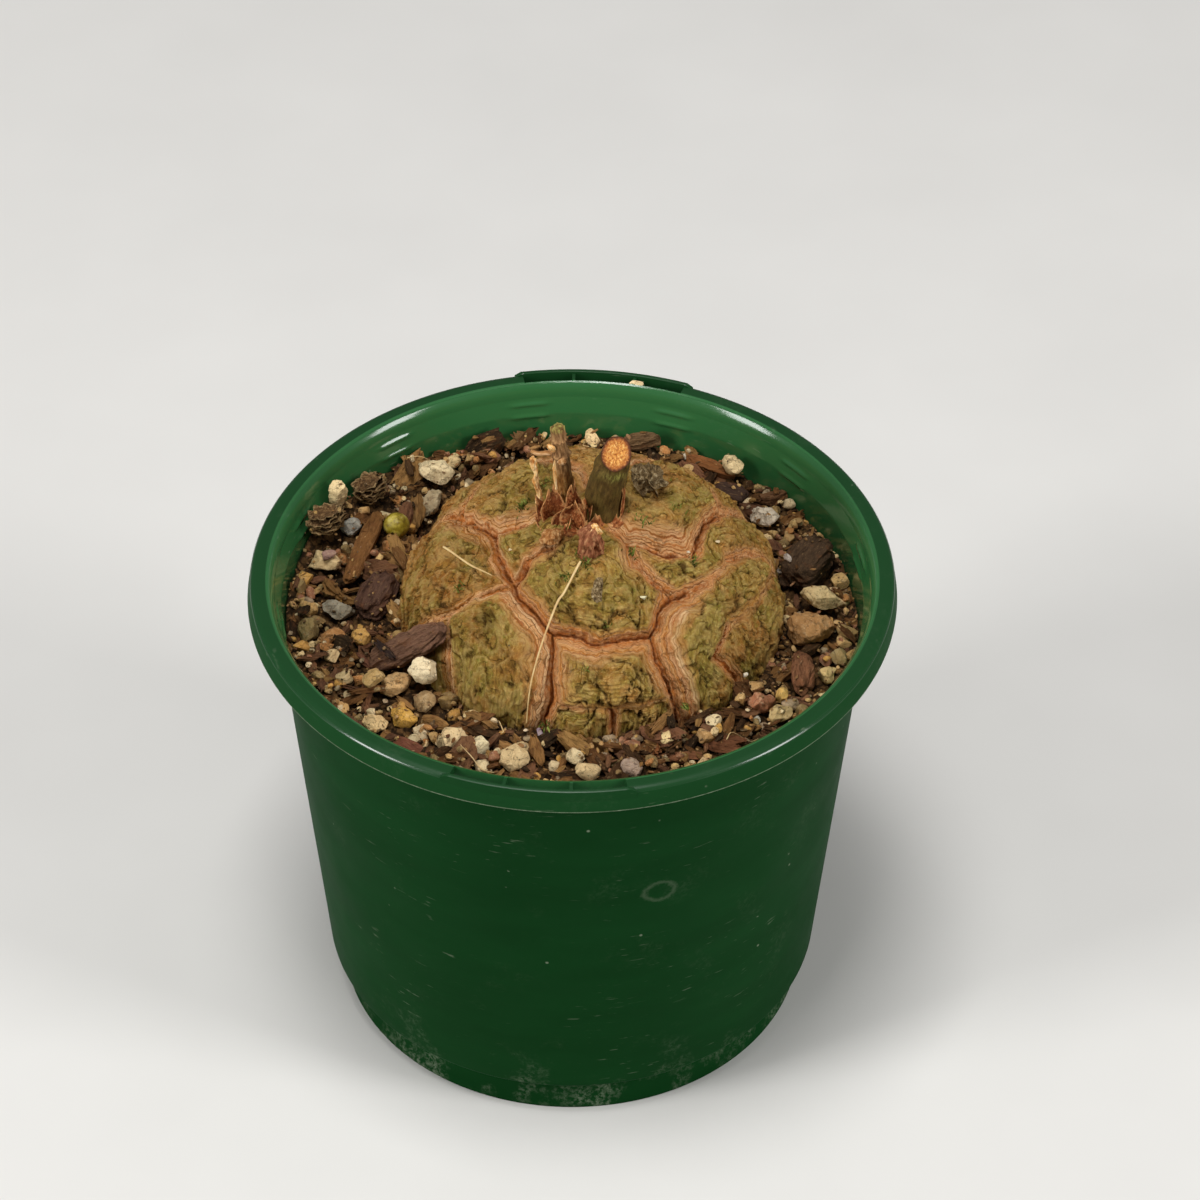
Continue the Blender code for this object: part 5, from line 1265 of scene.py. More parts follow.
GRIT = ("E6C890", "D4AC6E", "BC925A", "9A866A", "B87A42", "C89448", "905A42", "7E6840", "D8C296", "A28250")
CHIPS = ("4E3620", "684627", "7E5630", "946A3C", "80583C", "3A2A1A", "A67C48", "745038")
CRUMBS = ("5C4226", "7E5A32", "987242", "443020", "BE9658", "704C30", "362618", "A88250")

# Small pieces that lie in known places: x, y, length, colour, and whether it is bark
SETTLED = (
    (-53.5, 13.8, 3.6, "8E6E66", 0), (-40.0, -17.0, 5.0, "3A2C26", 1), (-6.8, -37.2, 2.6, "9A8AA0", 0),
    (45.6, 37.7, 2.4, "C9A040", 0), (38.9, -31.9, 2.4, "E4DCC4", 0), (38.2, 27.8, 3.4, "C8C0B4", 0),
    (41.4, 22.7, 3.6, "BCB2A2", 0), (44.5, 16.0, 3.0, "A49C90", 0), (46.9, 12.0, 2.4, "B4ACA0", 0),
    (17.4, -40.8, 4.2, "8E5632", 1), (-9.7, 57.9, 6.0, "7A5A38", 1), (5.0, 59.0, 3.2, "D8CBA8", 0),
    (26.0, 54.0, 3.2, "D6CCB2", 0), (-26.6, 53.6, 3.4, "B8683A", 1), (-47.4, 7.3, 2.8, "D8BE7C", 0),
    (31.0, -40.8, 9.0, "7C4E34", 1), (-55.2, 9.9, 3.4, "6A4C34", 1), (-52.1, -12.3, 4.0, "463428", 1),
    (-53.4, -20.9, 3.0, "DCC594", 0), (-47.3, -25.0, 3.2, "D8C090", 0), (-44.5, -13.9, 3.4, "845640", 1),
    (22.5, -44.5, 6.5, "946040", 1), (27.5, -46.5, 3.2, "C8A878", 0), (36.0, -35.5, 3.6, "CDB182", 0),
    (-36.5, -28.0, 2.8, "CBB58A", 0), (-28.5, -35.0, 2.6, "8A7C6C", 0), (-8.0, -42.0, 3.0, "A67262", 0),
    (-4.0, -47.0, 3.0, "D2BC90", 0), (7.5, -44.0, 2.8, "D8C8A0", 0), (18.5, -47.0, 4.4, "6A4630", 1),
)
# The rest: how many, their least and greatest half length, the share of bark, the stones' colours
SCATTERED = ((60, 2.4, 4.2, 1.0, GRIT), (420, 1.2, 2.5, 0.55, GRIT), (1100, 0.55, 1.2, 0.55, GRIT),
             (2300, 0.25, 0.55, 0.5, CRUMBS))
# Places tried for each, the share that comes to lie steep, and the straws on top
PLACES_TRIED, STEEP_SHARE, STRAWS = 4, 0.12, 14
BED_CELL, BED_REACH = 0.5, 66.0


def mix_level(x, y):
    """Height of the mix, which is heaped against the wall at the left rear."""
    bearing, out = np.degrees(np.arctan2(y, x)), np.hypot(x, y)
    heap = 4.5 * np.exp(-((bearing - 150) / 26) ** 2) * smooth_step(44, 60, out)
    return MIX_TOP + heap + np.exp(-((bearing - 90) / 40) ** 2) * smooth_step(46, 60, out)


def bed_height(x, y):
    """Height of the uneven fines between the stones."""
    at = np.column_stack([x, y, np.zeros_like(x)])
    return mix_level(x, y) - 0.9 + 1.1 * rough(at, 6, 31, 4, 0.6) + 0.35 * ridges(at, 1.6, 33)


def mix_bed(fines):
    """The fine part of the mix, from the floor of the pot up to its surface, hollowed under the
    caudex."""
    around, ring = MIX_SEGMENTS, circle(MIX_SEGMENTS)[1]
    under = (DOME_X, DOME_Y) + HOLLOW_RADIUS * ring
    rows = [np.column_stack([under, np.full(around, z)]) for z in (HOLLOW_FLOOR, 92.0)]
    for share in np.linspace(0, 1, MIX_RINGS):
        flat = (1 - share) * under + share * (float(wall_radius(MIX_TOP + 2)) - 0.3) * ring
        rows.append(np.column_stack([flat, bed_height(*flat.T)]))
    foot = FLOOR_UNDER + FLOOR + 0.35
    for z in (90.0, 50.0, 12.0):
        rows.append(np.column_stack([(float(wall_radius(z)) - 0.35) * ring, np.full(around, z)]))
    rows.append(np.column_stack([(FOOT_RADIUS - 3.8) * ring, np.full(around, foot)]))
    points = np.concatenate([*rows, [[DOME_X, DOME_Y, HOLLOW_FLOOR], [0, 0, foot]]])
    faces = outward(points, closed_rows(len(rows), around))
    piece("mix_fines", points, faces, fines, "potting_mix", ("potting_mix",), sharp=180)


def plain_body(make, cuts=0, **settings):
    """Points and faces of one of the body shapes that a fragment starts from."""
    bm = bmesh.new()
    make(bm, **settings)
    if cuts:
        bmesh.ops.subdivide_edges(bm, edges=bm.edges, cuts=cuts, use_grid_fill=True)
    bm.verts.ensure_lookup_table()
    points = np.array([v.co[:] for v in bm.verts])
    faces = [[v.index for v in face.verts] for face in bm.faces]
    bm.free()
    return points, faces


def round_body(fineness):
    """A ball of triangles."""
    return plain_body(bmesh.ops.create_icosphere, subdivisions=fineness, radius=1)


def grit_grain(base, half, chance):
    """A broken grain: a ball cut flat on several sides."""
    points = base * (1 + 0.10 * lattice_noise(base * 1.9 + chance.uniform(0, 90), 3))[:, None]
    for _ in range(8):
        side = any_way(chance)
        past = np.clip(points @ side - chance.uniform(0.5, 0.85), 0, None)
        points = points - past[:, None] * side
    size = half * np.array([1.12, chance.uniform(0.7, 0.95), chance.uniform(0.55, 0.85)])
    return points * size


def bark_flake(base, half, chance):
    """A torn flake: a thin slab with ragged ends."""
    length, width, thick = base.T
    wide, thin = chance.uniform(0.3, 0.8), chance.uniform(0.14, 0.4)
    where = base * 1.9 + chance.uniform(0, 90)
    ragged = 1 + 0.45 * lattice_noise(where * (0.3, 2.2, 2), 5)
    curl = chance.uniform(-0.6, 0.6)
    shaped = np.column_stack([
        length * ragged, width * (1 - 0.4 * np.abs(length) ** 1.5) + 0.35 * lattice_noise(where, 6),
        thick * (1 - 0.4 * length ** 2) + 0.3 * lattice_noise(where, 7) + curl * length ** 2])
    return shaped * half * (1.25, wide, thin)


def clear_of_walls(x, y, half):
    """Whether a fragment at this place lies between the caudex and the pot."""
    away = math.hypot(x - DOME_X, y - DOME_Y) - DOME_RADIUS
    room = MIX_RADIUS - math.hypot(x, y)
    return away > 0.15 + 0.45 * half and room > 0.75 * half


def scatter(gravel, bark, straw, laid):
    """Loose grains, bark flakes, crumbs and straw, each let down where the bed is lowest of a few
    places, on top of what lies there already."""
    chance = random.Random(71)
    count = int(2 * BED_REACH / BED_CELL)
    axis = (np.arange(count) + 0.5) * BED_CELL - BED_REACH
    gx, gy = np.meshgrid(axis, axis, indexing="ij")
    level = bed_height(gx.ravel(), gy.ravel()).reshape(count, count)
    taken = np.zeros((count, count), bool)
    for points in laid:
        cell = np.clip(((points[:, :2] + BED_REACH) / BED_CELL).astype(int), 0, count - 1)
        np.maximum.at(level, (cell[:, 0], cell[:, 1]), points[:, 2])
        taken[cell[:, 0], cell[:, 1]] = True
    pebble, ball, stone = (round_body(k) for k in (1, 2, 3))
    slab, plank = (plain_body(bmesh.ops.create_cube, cuts=k, size=2) for k in (1, 3))
    found = {"grit": [], "chips": [], "crumbs": []}

    def window(x, y, reach):
        """The cells of the bed within reach of a place."""
        i, j = (int((c + BED_REACH) / BED_CELL) for c in (x, y))
        k = max(1, int(reach / BED_CELL))
        return slice(max(i - k, 0), i + k + 1), slice(max(j - k, 0), j + k + 1)

    def let_down(x, y, half, is_bark, colour, group):
        """Lays one fragment at a place, and raises the bed there."""
        base, faces = ((plank if half > 1.3 else slab) if is_bark and half > 0.5 else
                       stone if half > 1.45 else ball if half > 0.5 else pebble)
        body = (bark_flake if is_bark else grit_grain)(base, half, chance)
        lean = chance.gauss(0, 24 if is_bark else 14)
        if chance.random() < STEEP_SHARE:
            lean = chance.uniform(-70, 70)
        lie = body + np.array([chance.uniform(0, 50) for _ in range(3)])
        body = turned(turned(body, (lean, chance.gauss(0, 14), 0)), (0, 0, chance.uniform(0, 360)))
        tall = np.ptp(body[:, 2])
        part = window(x, y, 0.6 * half)
        ground = level[part].mean()
        body = body + (x, y, ground + 0.30 * tall)
        body[:, :2] *= np.minimum(1, (wall_radius(body[:, 2]) - 0.2) / np.hypot(*body[:, :2].T))[:, None]
        part = window(x, y, half)
        away = np.hypot(gx[part] - x, gy[part] - y) / half
        level[part] = np.maximum(level[part], np.where(away < 1, ground + 0.8 * tall * (1 - away ** 2), -9))
        shade = chance.uniform(0.82, 1.12)
        tint = np.array(linear(colour)) * (shade, shade * chance.uniform(0.96, 1.03), shade, 1)
        found[group].append((body, faces, lie, np.tile(tint, (len(body), 1))))

    def lowest_place(half):
        """The lowest of a few free places, measured from the mean height of the mix."""
        best = None
        while best is None:
            for _ in range(PLACES_TRIED):
                out, turn = SCATTER_RADIUS * math.sqrt(chance.random()), chance.uniform(0, math.tau)
                x, y = out * math.cos(turn), out * math.sin(turn)
                if not clear_of_walls(x, y, half):
                    continue
                part = window(x, y, 0.5 * half)
                if half > 0.6 and taken[part].mean() > 0.25:
                    continue
                height = level[part].mean() - float(mix_level(x, y))
                if best is None or height < best[0]:
                    best = (height, x, y)
        return best[1:]

    for x, y, long, colour, is_bark in SETTLED:
        let_down(x, y, long / 2, is_bark, colour, "chips" if is_bark else "grit")
    for number, small, large, barky, stony in SCATTERED:
        for _ in range(number):
            half = small + (large - small) * chance.random() ** 1.5
            is_bark = chance.random() < barky
            place = lowest_place(half)
            group = "crumbs" if small < 0.5 else "chips" if is_bark else "grit"
            let_down(*place, half, is_bark, chance.choice(CHIPS if is_bark else stony), group)
    for group, parts in found.items():
        made = bark if group == "chips" else gravel
        for number, some in enumerate([parts] if group == "crumbs" else (parts[0::2], parts[1::2]), 1):
            bundle(f"loose_{group}_{number}", some, "lie tint", made, "potting_mix", sharp=32)
    parts = []
    for _ in range(STRAWS):
        x, y = lowest_place(1.0)
        long, turn = chance.uniform(4, 11), chance.uniform(0, math.tau)
        along = np.array([math.cos(turn), math.sin(turn)])
        if not all(clear_of_walls(*(np.array([x, y]) + along * s), 0.4) for s in (-long / 2, long / 2)):
            continue
        stops = []
        for s in (-0.5, -0.17, 0.17, 0.5):
            p = np.array([x, y]) + along * s * long + (chance.gauss(0, 0.4), chance.gauss(0, 0.4))
            stops.append((*p, level[window(*p, 1.0)].max() + 0.15))
        parts.append(tube(stops, np.array([1, 1, 0.8, 0.5]) * chance.uniform(0.07, 0.13), 12, 6, 0.6))
    bundle("straw_bits", parts, "lie", straw, "potting_mix")


# ---------------------------------------------------------------- stubs and litter

def rising_path(place, rises, leans):
    """A path that leaves the dome squarely at (x, y): heights along the normal, and side moves."""
    seat, normal = on_dome(*place, 0.35)
    return np.array([seat + normal * rise + (dx, dy, 0) for rise, (dx, dy) in zip(rises, leans)])


def main_stem(bark, wood, tip):
    """The dried main stem: swollen nodes, a bud and a twig at the upper node, its top broken."""
    rises = (-1.2, 0, 1.1, 3.6, 7, 9.6, 11.2, 11.9, 12.8, 15.2, 15.7, 16.4, 18.4, 19)
    radii = (3.0, 2.6, 2.25, 2.05, 1.9, 1.8, 1.75, 2.15, 1.7, 1.55, 1.85, 1.55, 1.6, 1.3)
    path = rising_path(MAIN_STEM, rises, [(0.01 * r, 0.0) for r in rises])
    points, faces, lie = tube(path, radii, 150, 56, seed=3, bumps=0.13, grain=(1.2, 4.0))
    count = len(points) - 2
    torn = 0.45 * lattice_noise(np.column_stack([lie[:, :2] * 1.3, np.zeros(len(lie))]), 8)
    top = lie[:, 2] > lie[:, 2].max() - 0.5
    points[top, 2] += torn[top]
    shrunk = ridges(lie, (0.9, 0.9, 7), 4)[:, None] * 0.09
    points[:count] -= unit(points[:count] - np.repeat(smooth_run(path, 150), 56, 0)) * shrunk[:count]
    aged = smooth_step(7, 12, lie[:, 2])
    lichen = smooth_step(1.2, 0.3, lie[:, 2].max() - lie[:, 2])
    piece("main_stem_skin", points, faces, bark, "main_stem_stub", ("main_stem_stub",), sharp=60, lie=lie,
          aged=aged, lichen=lichen)
    joint, _ = on_dome(*MAIN_STEM, 12.2)
    twig = joint + np.array(((0.4, 0, -0.2), (-1.2, 0, 0), (-3, -0.3, 0.4), (-4.6, -0.4, 0.3),
                             (-6.2, -0.2, 0.9)))
    bud = joint + np.array(((0.3, -0.6, -0.7), (0.4, -1.6, -0.6), (0.5, -2.3, -0.1), (0.5, -2.5, 0.6)))
    parts = [tube(twig, (0.9, 0.8, 0.6, 0.55, 0.35), 50, 20, seed=5, bumps=0.2),
             tube(bud, (0.9, 1.05, 0.8, 0.25), 30, 24, seed=6, bumps=0.15)]
    bundle("stem_twig_and_bud", parts, "lie", tip, "main_stem_stub", sharp=60)
    low = rising_path(MAIN_STEM, (3.0, 6.0, 9.0, 11.0),
                      ((-1.55, -1.35), (-1.5, -1.25), (-1.35, -1.2), (-1.2, -1.1)))
    high = rising_path(MAIN_STEM, (13.2, 14.4, 15.4), ((-1.1, -1.0), (-1.6, -1.5), (-2.2, -1.3)))
    parts = [tube(low, (0.35, 0.6, 0.55, 0.2), 40, 16, 0.6, seed=7, bumps=0.3),
             tube(high, (0.5, 0.75, 0.3), 24, 16, 0.5, seed=8, bumps=0.3)]
    bundle("stem_torn_strips", parts, "lie", wood, "main_stem_stub", sharp=45)


def sawn_stub(bark, sawn):
    """The stoutest stub, sawn off on a slant that faces forward and up."""
    seat, normal = on_dome(*SAWN_STUB, 0.7)
    axis = normal + (0.15, 0.03, 0)
    middle = on_dome(*SAWN_STUB, 15.6)[0] + (2.3, 0.5, 0)
    facing = unit(np.array([0.12, -0.62, 0.78]))
    side = unit(np.cross(axis, (0, 1, 0)))
    other = unit(np.cross(axis, side))
    around, rows, rings = 96, 72, 30
    cut, root = 3.1, 1.8
    turn, spoke = circle(around)
    out = np.outer(spoke[:, 0], side) + np.outer(spoke[:, 1], other)
    out *= (1 + 0.035 * np.sin(2 * turn + 1) + 0.02 * np.sin(5 * turn))[:, None]
    height = ((middle - seat) @ facing - cut * (out @ facing)) / (axis @ facing)
    share = np.linspace(0, 1, rows)[:, None]
    rise = -root + (height + root) * share
    radius = np.interp(rise, (-root, 0, 2, 5, 9, 12, 14, 24), (4.6, 4.1, 3.8, 3.6, 3.4, 3.2, cut, cut))
    shoulder = np.clip(out @ (-1, -0.3, 0), 0, 1) * smooth_step(1, 4, rise) * smooth_step(0.97, 0.8, share)
    radius = radius + 0.8 * shoulder
    lie = np.stack([np.cos(turn) * radius, np.sin(turn) * radius, rise], axis=-1).reshape(-1, 3)
    skin = 0.20 * rough(lie, (1.8, 1.8, 3.2), 12, 3) - 0.05 * (ridges(lie, (1.0, 1.0, 8), 13) + 1)
    skin = skin.reshape(rows, around) * smooth_step(1.0, 0.97, share)
    points = (seat + rise[..., None] * axis + (radius + skin)[..., None] * out).reshape(-1, 3)
    foot = len(points)
    rim = points[-around:]
    faces = [*grid_faces(rows, around, True), *(face[::-1] for face in fan(np.arange(around), foot))]
    # The sawn face: rings of the rim drawn in to its middle, with a small ridge at the bark
    centre, shares = rim.mean(0), np.linspace(1, 0, rings)[1:-1]
    reach = np.concatenate([np.ones(around), np.repeat(shares, around)])
    rays = np.column_stack([np.tile(spoke, (rings - 1, 1)), reach])
    dip = -0.22 * smooth_step(1.0, 0.9, reach) + 0.10 * rough(rays * (4, 4, 2), 1.0, 14, 3)
    dip = dip - 0.25 * np.exp(-(reach / 0.12) ** 2)
    face_points = np.concatenate([rim, *(centre + (rim - centre) * s for s in shares)])
    face_points = face_points + facing * (dip * smooth_step(1.0, 0.97, reach))[:, None]
    sawn_faces = [*grid_faces(rings - 1, around, True),
                  *fan(np.arange(around) + (rings - 2) * around, len(face_points))]
    # One closed body: the sawn face begins on the rim's own points
    start, inner = foot + 1, len(face_points) - around
    renumber = np.concatenate([np.arange(around) + foot - around, start + np.arange(inner + 1)])
    faces += [[renumber[k] for k in face] for face in sawn_faces]
    points = np.concatenate([points, [points[:around].mean(0)], face_points[around:],
                             [centre - facing * 0.35]])
    flat_place = np.column_stack([cut * rays[:, :2] * reach[:, None], 0 * reach])[around:]
    lie = np.concatenate([lie, [[0, 0, -root]], flat_place, np.zeros((1, 3))])
    own_rays, own_reach = np.zeros((len(points), 3)), np.ones(len(points))
    own_rays[foot - around:foot] = rays[:around]
    own_rays[start:start + inner] = rays[around:]
    own_reach[start:] = [*reach[around:], 0]
    # A patch of green grows on the front, close under the cut
    lichen = 1.3 * np.exp(-(((lie - (-0.8, 3.3, 10.9)) / (2.0, 2.5, 0.8)) ** 2).sum(axis=1))
    body = piece("sawn_stub_skin", points, faces, [bark, sawn], "thick_cut_stub", ("thick_cut_stub",),
                 sharp=60, lie=lie, rays=own_rays, reach=own_reach, lichen=lichen)
    index = np.zeros(len(faces), int)
    index[-len(sawn_faces):] = 1
    body.data.polygons.foreach_set("material_index", index)


def short_stem(bark, wood):
    """The shortest stub, with a splinter of wood at its tip."""
    rises = (-1.0, 0, 1.5, 3.5, 5.6, 6.4, 7.0)
    path = rising_path(SHORT_STEM, rises, [(0.05 * r, 0.1 * r) for r in rises])
    stem = tube(path, (2.9, 2.7, 2.5, 2.3, 1.9, 1.4, 0.7), 70, 56, seed=9, bumps=0.34, grain=(1.1, 2.6))
    bundle("short_stem_skin", [stem], "lie", bark, "short_stem_stub", ("short_stem_stub",), sharp=50)
    tip = rising_path(SHORT_STEM, (5.0, 6.4, 7.6), ((0.6, 0.2), (0.9, 0.4), (1.0, 0.9)))
    splinter = tube(tip, (1.5, 1.2, 0.35), 40, 24, 0.6, seed=10, bumps=0.5, grain=(0.7, 2))
    bundle("short_stem_splinter", [splinter], "lie", wood, "short_stem_stub", sharp=40)


def split_sliver(wood):
    """A torn, jagged sliver of stem."""
    rises = (-1.0, 0, 3, 6, 9, 12, 13.2)
    leans = ((0, 0), (0, 0), (0.3, 0), (0.4, 0), (0.9, 0), (1.0, 0), (1.3, 0))
    path = rising_path((-6.9, 4.4), rises, leans)
    sliver = tube(path, (0.75, 0.7, 0.5, 0.62, 0.5, 0.6, 0.15), 130, 28, 0.8, 11, 0.6, (0.6, 1.5))
    bundle("stem_sliver_split", [sliver], "lie", wood, "split_stem_sliver", ("split_stem_sliver",), sharp=40)


def paper_sheet(place, width, height, face, curl, seed, lean=0.0):
    """A dried sheet: it narrows to a torn tip, curls about its length and buckles."""
    rows, columns = 22, 15
    count = rows * columns
    up, across = np.repeat(np.linspace(0, 1, rows), columns), np.tile(np.linspace(-1, 1, columns), rows)
    half = width / 2 * (1 - 0.62 * up ** 2.2) * (0.85 + 0.7 * up * (1 - up))
    lie = np.column_stack([across * half, np.full_like(up, seed * 3.1), up * height])
    torn = 0.30 * lattice_noise(np.column_stack([across * 3.4, up * 0, up * 0]) + seed, seed) * up ** 2
    sheet = np.column_stack([across * half, -curl * across ** 2 * width * 0.35 + curl * 1.8 * up ** 2,
                             (up + torn) * height])
    sheet = sheet + 0.6 * wobble(lie, 3.2, range(seed, seed + 3), 3, 0.35) * (0.3 + up[:, None])
    front = grid_faces(rows, columns)
    skin = normals_of(sheet, front)
    both = np.concatenate([sheet + 0.07 * skin, sheet - 0.07 * skin])
    outline = [*range(columns), *range(2 * columns - 1, count, columns),
               *range(count - 2, count - columns - 1, -1), *range(count - 2 * columns, 0, -columns)]
    side = [(b, a, a + count, b + count) for a, b in zip(outline, outline[1:] + outline[:1])]
    return (turned(turned(both, (lean, 0, 0)), (0, 0, face)) + place,
            [*front, *(front[:, ::-1] + count), *side],
            np.tile(lie, (2, 1)), np.tile(np.maximum(np.abs(across), up), 2))


# The big papery scales round the stem bases: x, y, width, height, facing, curl and seed
BRACTS = {
    "bract_left": (-4.2, -0.8, 5.4, 7.5, 12, 0.6, 3), "bract_middle": (0.2, -3.6, 5.6, 6.4, -10, 0.5, 5),
    "bract_right": (0.2, -0.2, 4.0, 8.0, 22, 0.5, 7),
}
# The torn remains of more: x, y, width, height, facing and lean
BRACT_REMAINS = (
    (-6.2, 0.4, 4.0, 4.2, 60, -30), (-2.4, -3.4, 4.8, 3.8, -30, -38), (2.4, -3.0, 3.8, 4.2, 40, -24),
    (3.0, -0.8, 3.4, 5.2, -50, -6), (-3.8, 2.8, 3.6, 4.6, 80, 8), (-0.6, -6.0, 4.4, 3.2, 10, -52),
    (2.4, -6.8, 3.8, 2.8, -25, -50), (-6.0, -2.6, 3.6, 3.2, 40, -56), (-5.0, -4.6, 3.6, 3.0, -10, -60),
    (10.6, 0.2, 2.6, 8.6, 70, 0), (8.6, -3.2, 5.4, 2.4, -15, -64), (5.6, -4.4, 4.6, 2.6, 20, -56),
)


def bracts(paper):
    """The three big papery scales, and what is left of the others."""
    for node, (x, y, *form) in BRACTS.items():
        sheet = paper_sheet(on_dome(x, y)[0], *form)
        bundle(node + "_paper", [sheet], "lie edge", paper, node, (node,), sharp=70)
    chance = random.Random(17)
    parts = []
    for x, y, width, height, face, lean in BRACT_REMAINS:
        curl, seed = chance.uniform(-0.7, 0.9), chance.randint(1, 99)
        parts.append(paper_sheet(on_dome(x, y, -0.3)[0], width, height, face, curl, seed, lean))
    bundle("bract_remains", parts, "lie edge", paper, "bract_middle", sharp=70)


def knob_and_debris(skin, leaf):
    """The broken knob in front of the stubs, and the crumpled lump of dry leaf behind them."""
    points, faces = refined("broken_knob", 3)
    lie = points - points.mean(0)
    swell = 0.30 * rough(lie, 1.3, 21, 3) + 0.12 * ridges(lie, 1.0, 22)
    points = raised(points, faces, swell)
    piece("broken_knob_skin", points, faces, skin, "broken_knob", ("broken_knob",), lie=lie)
    points, faces = refined("dried_debris", 2)
    lie = points - points.mean(0)
    fold = 0.75 * ridges(lie, 2.6, 23) + 0.5 * rough(lie, 2.2, 24, 4, 0.6)
    points = raised(points, faces, fold - 0.3)
    piece("debris_crumpled", points, faces, leaf, "dried_debris", ("dried_debris",), sharp=35, lie=lie)
    chance = random.Random(5)
    x, y = DEBRIS
    parts = []
    for seed in range(31, 38):
        seat, _ = on_dome(x + chance.uniform(-2.6, 2.6), y + chance.uniform(-2.4, 2.4), 1.0)
        form = [chance.uniform(*ends) for ends in ((2.5, 4), (2.6, 4.2), (0, 360), (-0.9, 0.9))]
        parts.append(paper_sheet(seat, *form, seed, chance.uniform(10, 70)))
    bundle("debris_curls", parts, "lie edge", leaf, "dried_debris", sharp=60)


# Dry blades of grass over the plates: bearing, tilt and how far they stand off
GRASS = {
    "grass_blade_short": ((-81, 48, 3.2), (-66, 43, 1.8), (-51, 40, 2.6)),
    "grass_blade_long": ((-9, 25, 2.6), (-14.5, 35, 1.9), (-16.5, 39, 2.1), (-18, 48, 1.9),
                         (-19.3, 66, 2.3), (-19, 82, 2.8)),
}


def grass(straw):
    """Two dry blades of grass that lie over the plates."""
    for node, stops in GRASS.items():
        flat = np.array([flat_map(float(a), float(t)) for a, t, _ in stops])
        path = smooth_run(np.column_stack([flat, [lift for _, _, lift in stops]]), 16)
        points, _ = dome(*map_bearing_tilt(path[:, :2]), path[:, 2])
        radii = 0.24 * (1 - 0.6 * np.linspace(0, 1, 16) ** 2)
        blade = tube(points, radii, 110, 12, 0.7, 3, 0.2, (1, 5))
        bundle(node + "_dry", [blade], "lie", straw, node, (node,))


# Single grains caught on the caudex: bearing, tilt, half length and colour
CAUGHT = (
    (24, 38, 0.7, "D8D2AC"), (51, 81, 0.7, "F0E4CC"), (-58, 30, 0.4, "DCC8A0"),
    (62, 33, 0.4, "E4D8C0"), (12, 71, 0.35, "5A4630"), (-30, 57, 0.4, "4A3826"),
    (33, 90, 0.6, "E8D8B8"), (-20, 88, 0.5, "E0C8A4"), (80, 40, 0.5, "C8B490"),
)


def chip_and_grains(crust, gravel):
    """A dark dry chip that lies down the front plate, and the single grains."""
    seat, normal = on_dome(5.4, -20.6, 1.4)
    points, faces = refined("lilac_chip", 2)
    local = 2 * (points - points.min(0)) / np.ptp(points, axis=0) - 1
    local = (local * (1.2, 2.9, 0.7) * (1 - 0.35 * local[:, 1:2])
             + (0.55, 0.3, 0.4) * wobble(local * (1, 0.6, 1), 0.9, (81, 82, 83), 4, 0.6))
    down = np.array([0.12, -1.0, 0])
    down = unit(down - normal * (down @ normal))
    points = seat + local @ np.array([np.cross(down, normal), down, normal])
    piece("lilac_chip_split", points, faces, crust, "lilac_chip", ("lilac_chip",), sharp=25,
          lie=local * 1.5 + 4)
    base, faces = round_body(3)
    chance = random.Random(8)
    parts = []
    for bearing, tilt, half, colour in CAUGHT:
        body = grit_grain(base, half, chance)
        place = dome(bearing, tilt, 1.0)[0]
        parts.append((place + body, faces, body + 9 * bearing, tints(colour, len(body))))
    # One more lies in the rear label slot
    body = grit_grain(base, 1.4, chance)
    parts.append((body + (14.3, 65.2, POT_HEIGHT - 0.4), faces, body + 3, tints("E8D0A0", len(body))))
    bundle("caught_grains", parts, "lie tint", gravel, "potting_mix", sharp=40)


# Tufts of moss: bearing, tilt, reach and how many shoots
TUFTS = (
    (-8, 24, 2.6, 42), (-16, 30, 1.6, 21), (-62, 51, 1.5, 28), (70, 16, 2.4, 35), (95, 24, 2.2, 28),
    (-95, 22, 2.0, 28), (-125, 18, 2.4, 28), (5, 45, 1.0, 11), (30, 22, 1.4, 16), (-40, 12, 1.6, 21),
    (150, 14, 2.4, 28), (28, 80, 1.2, 14), (-14, 84, 1.4, 16), (60, 36, 1.2, 14), (-2, 60, 0.8, 8),
    (120, 30, 2, 21),
)


def moss_tufts(moss):
    """Small tufts of moss in the hollows near the stems and on the front plates."""
    chance = random.Random(29)
    parts = []
    for bearing, tilt, reach, shoots in TUFTS:
        (middle,), (up,) = dome(bearing, tilt, 0.5)
        for _ in range(shoots):
            root = middle + reach * np.array([chance.gauss(0, 0.45) for _ in range(3)])
            root = root - up * ((root - middle) @ up)
            bend = np.array([chance.gauss(0, 0.35) for _ in range(3)])
            tall = chance.uniform(0.5, 1.3)
            stops = [root - 0.4 * up, root + 0.5 * tall * up + 0.4 * bend, root + tall * up + 1.3 * bend]
            parts.append(tube(stops, (0.13, 0.12, 0.03), 4, 4, 0.6))
    bundle("moss_shoots", parts, "lie", moss, "caudex")


# ---------------------------------------------------------------- stage

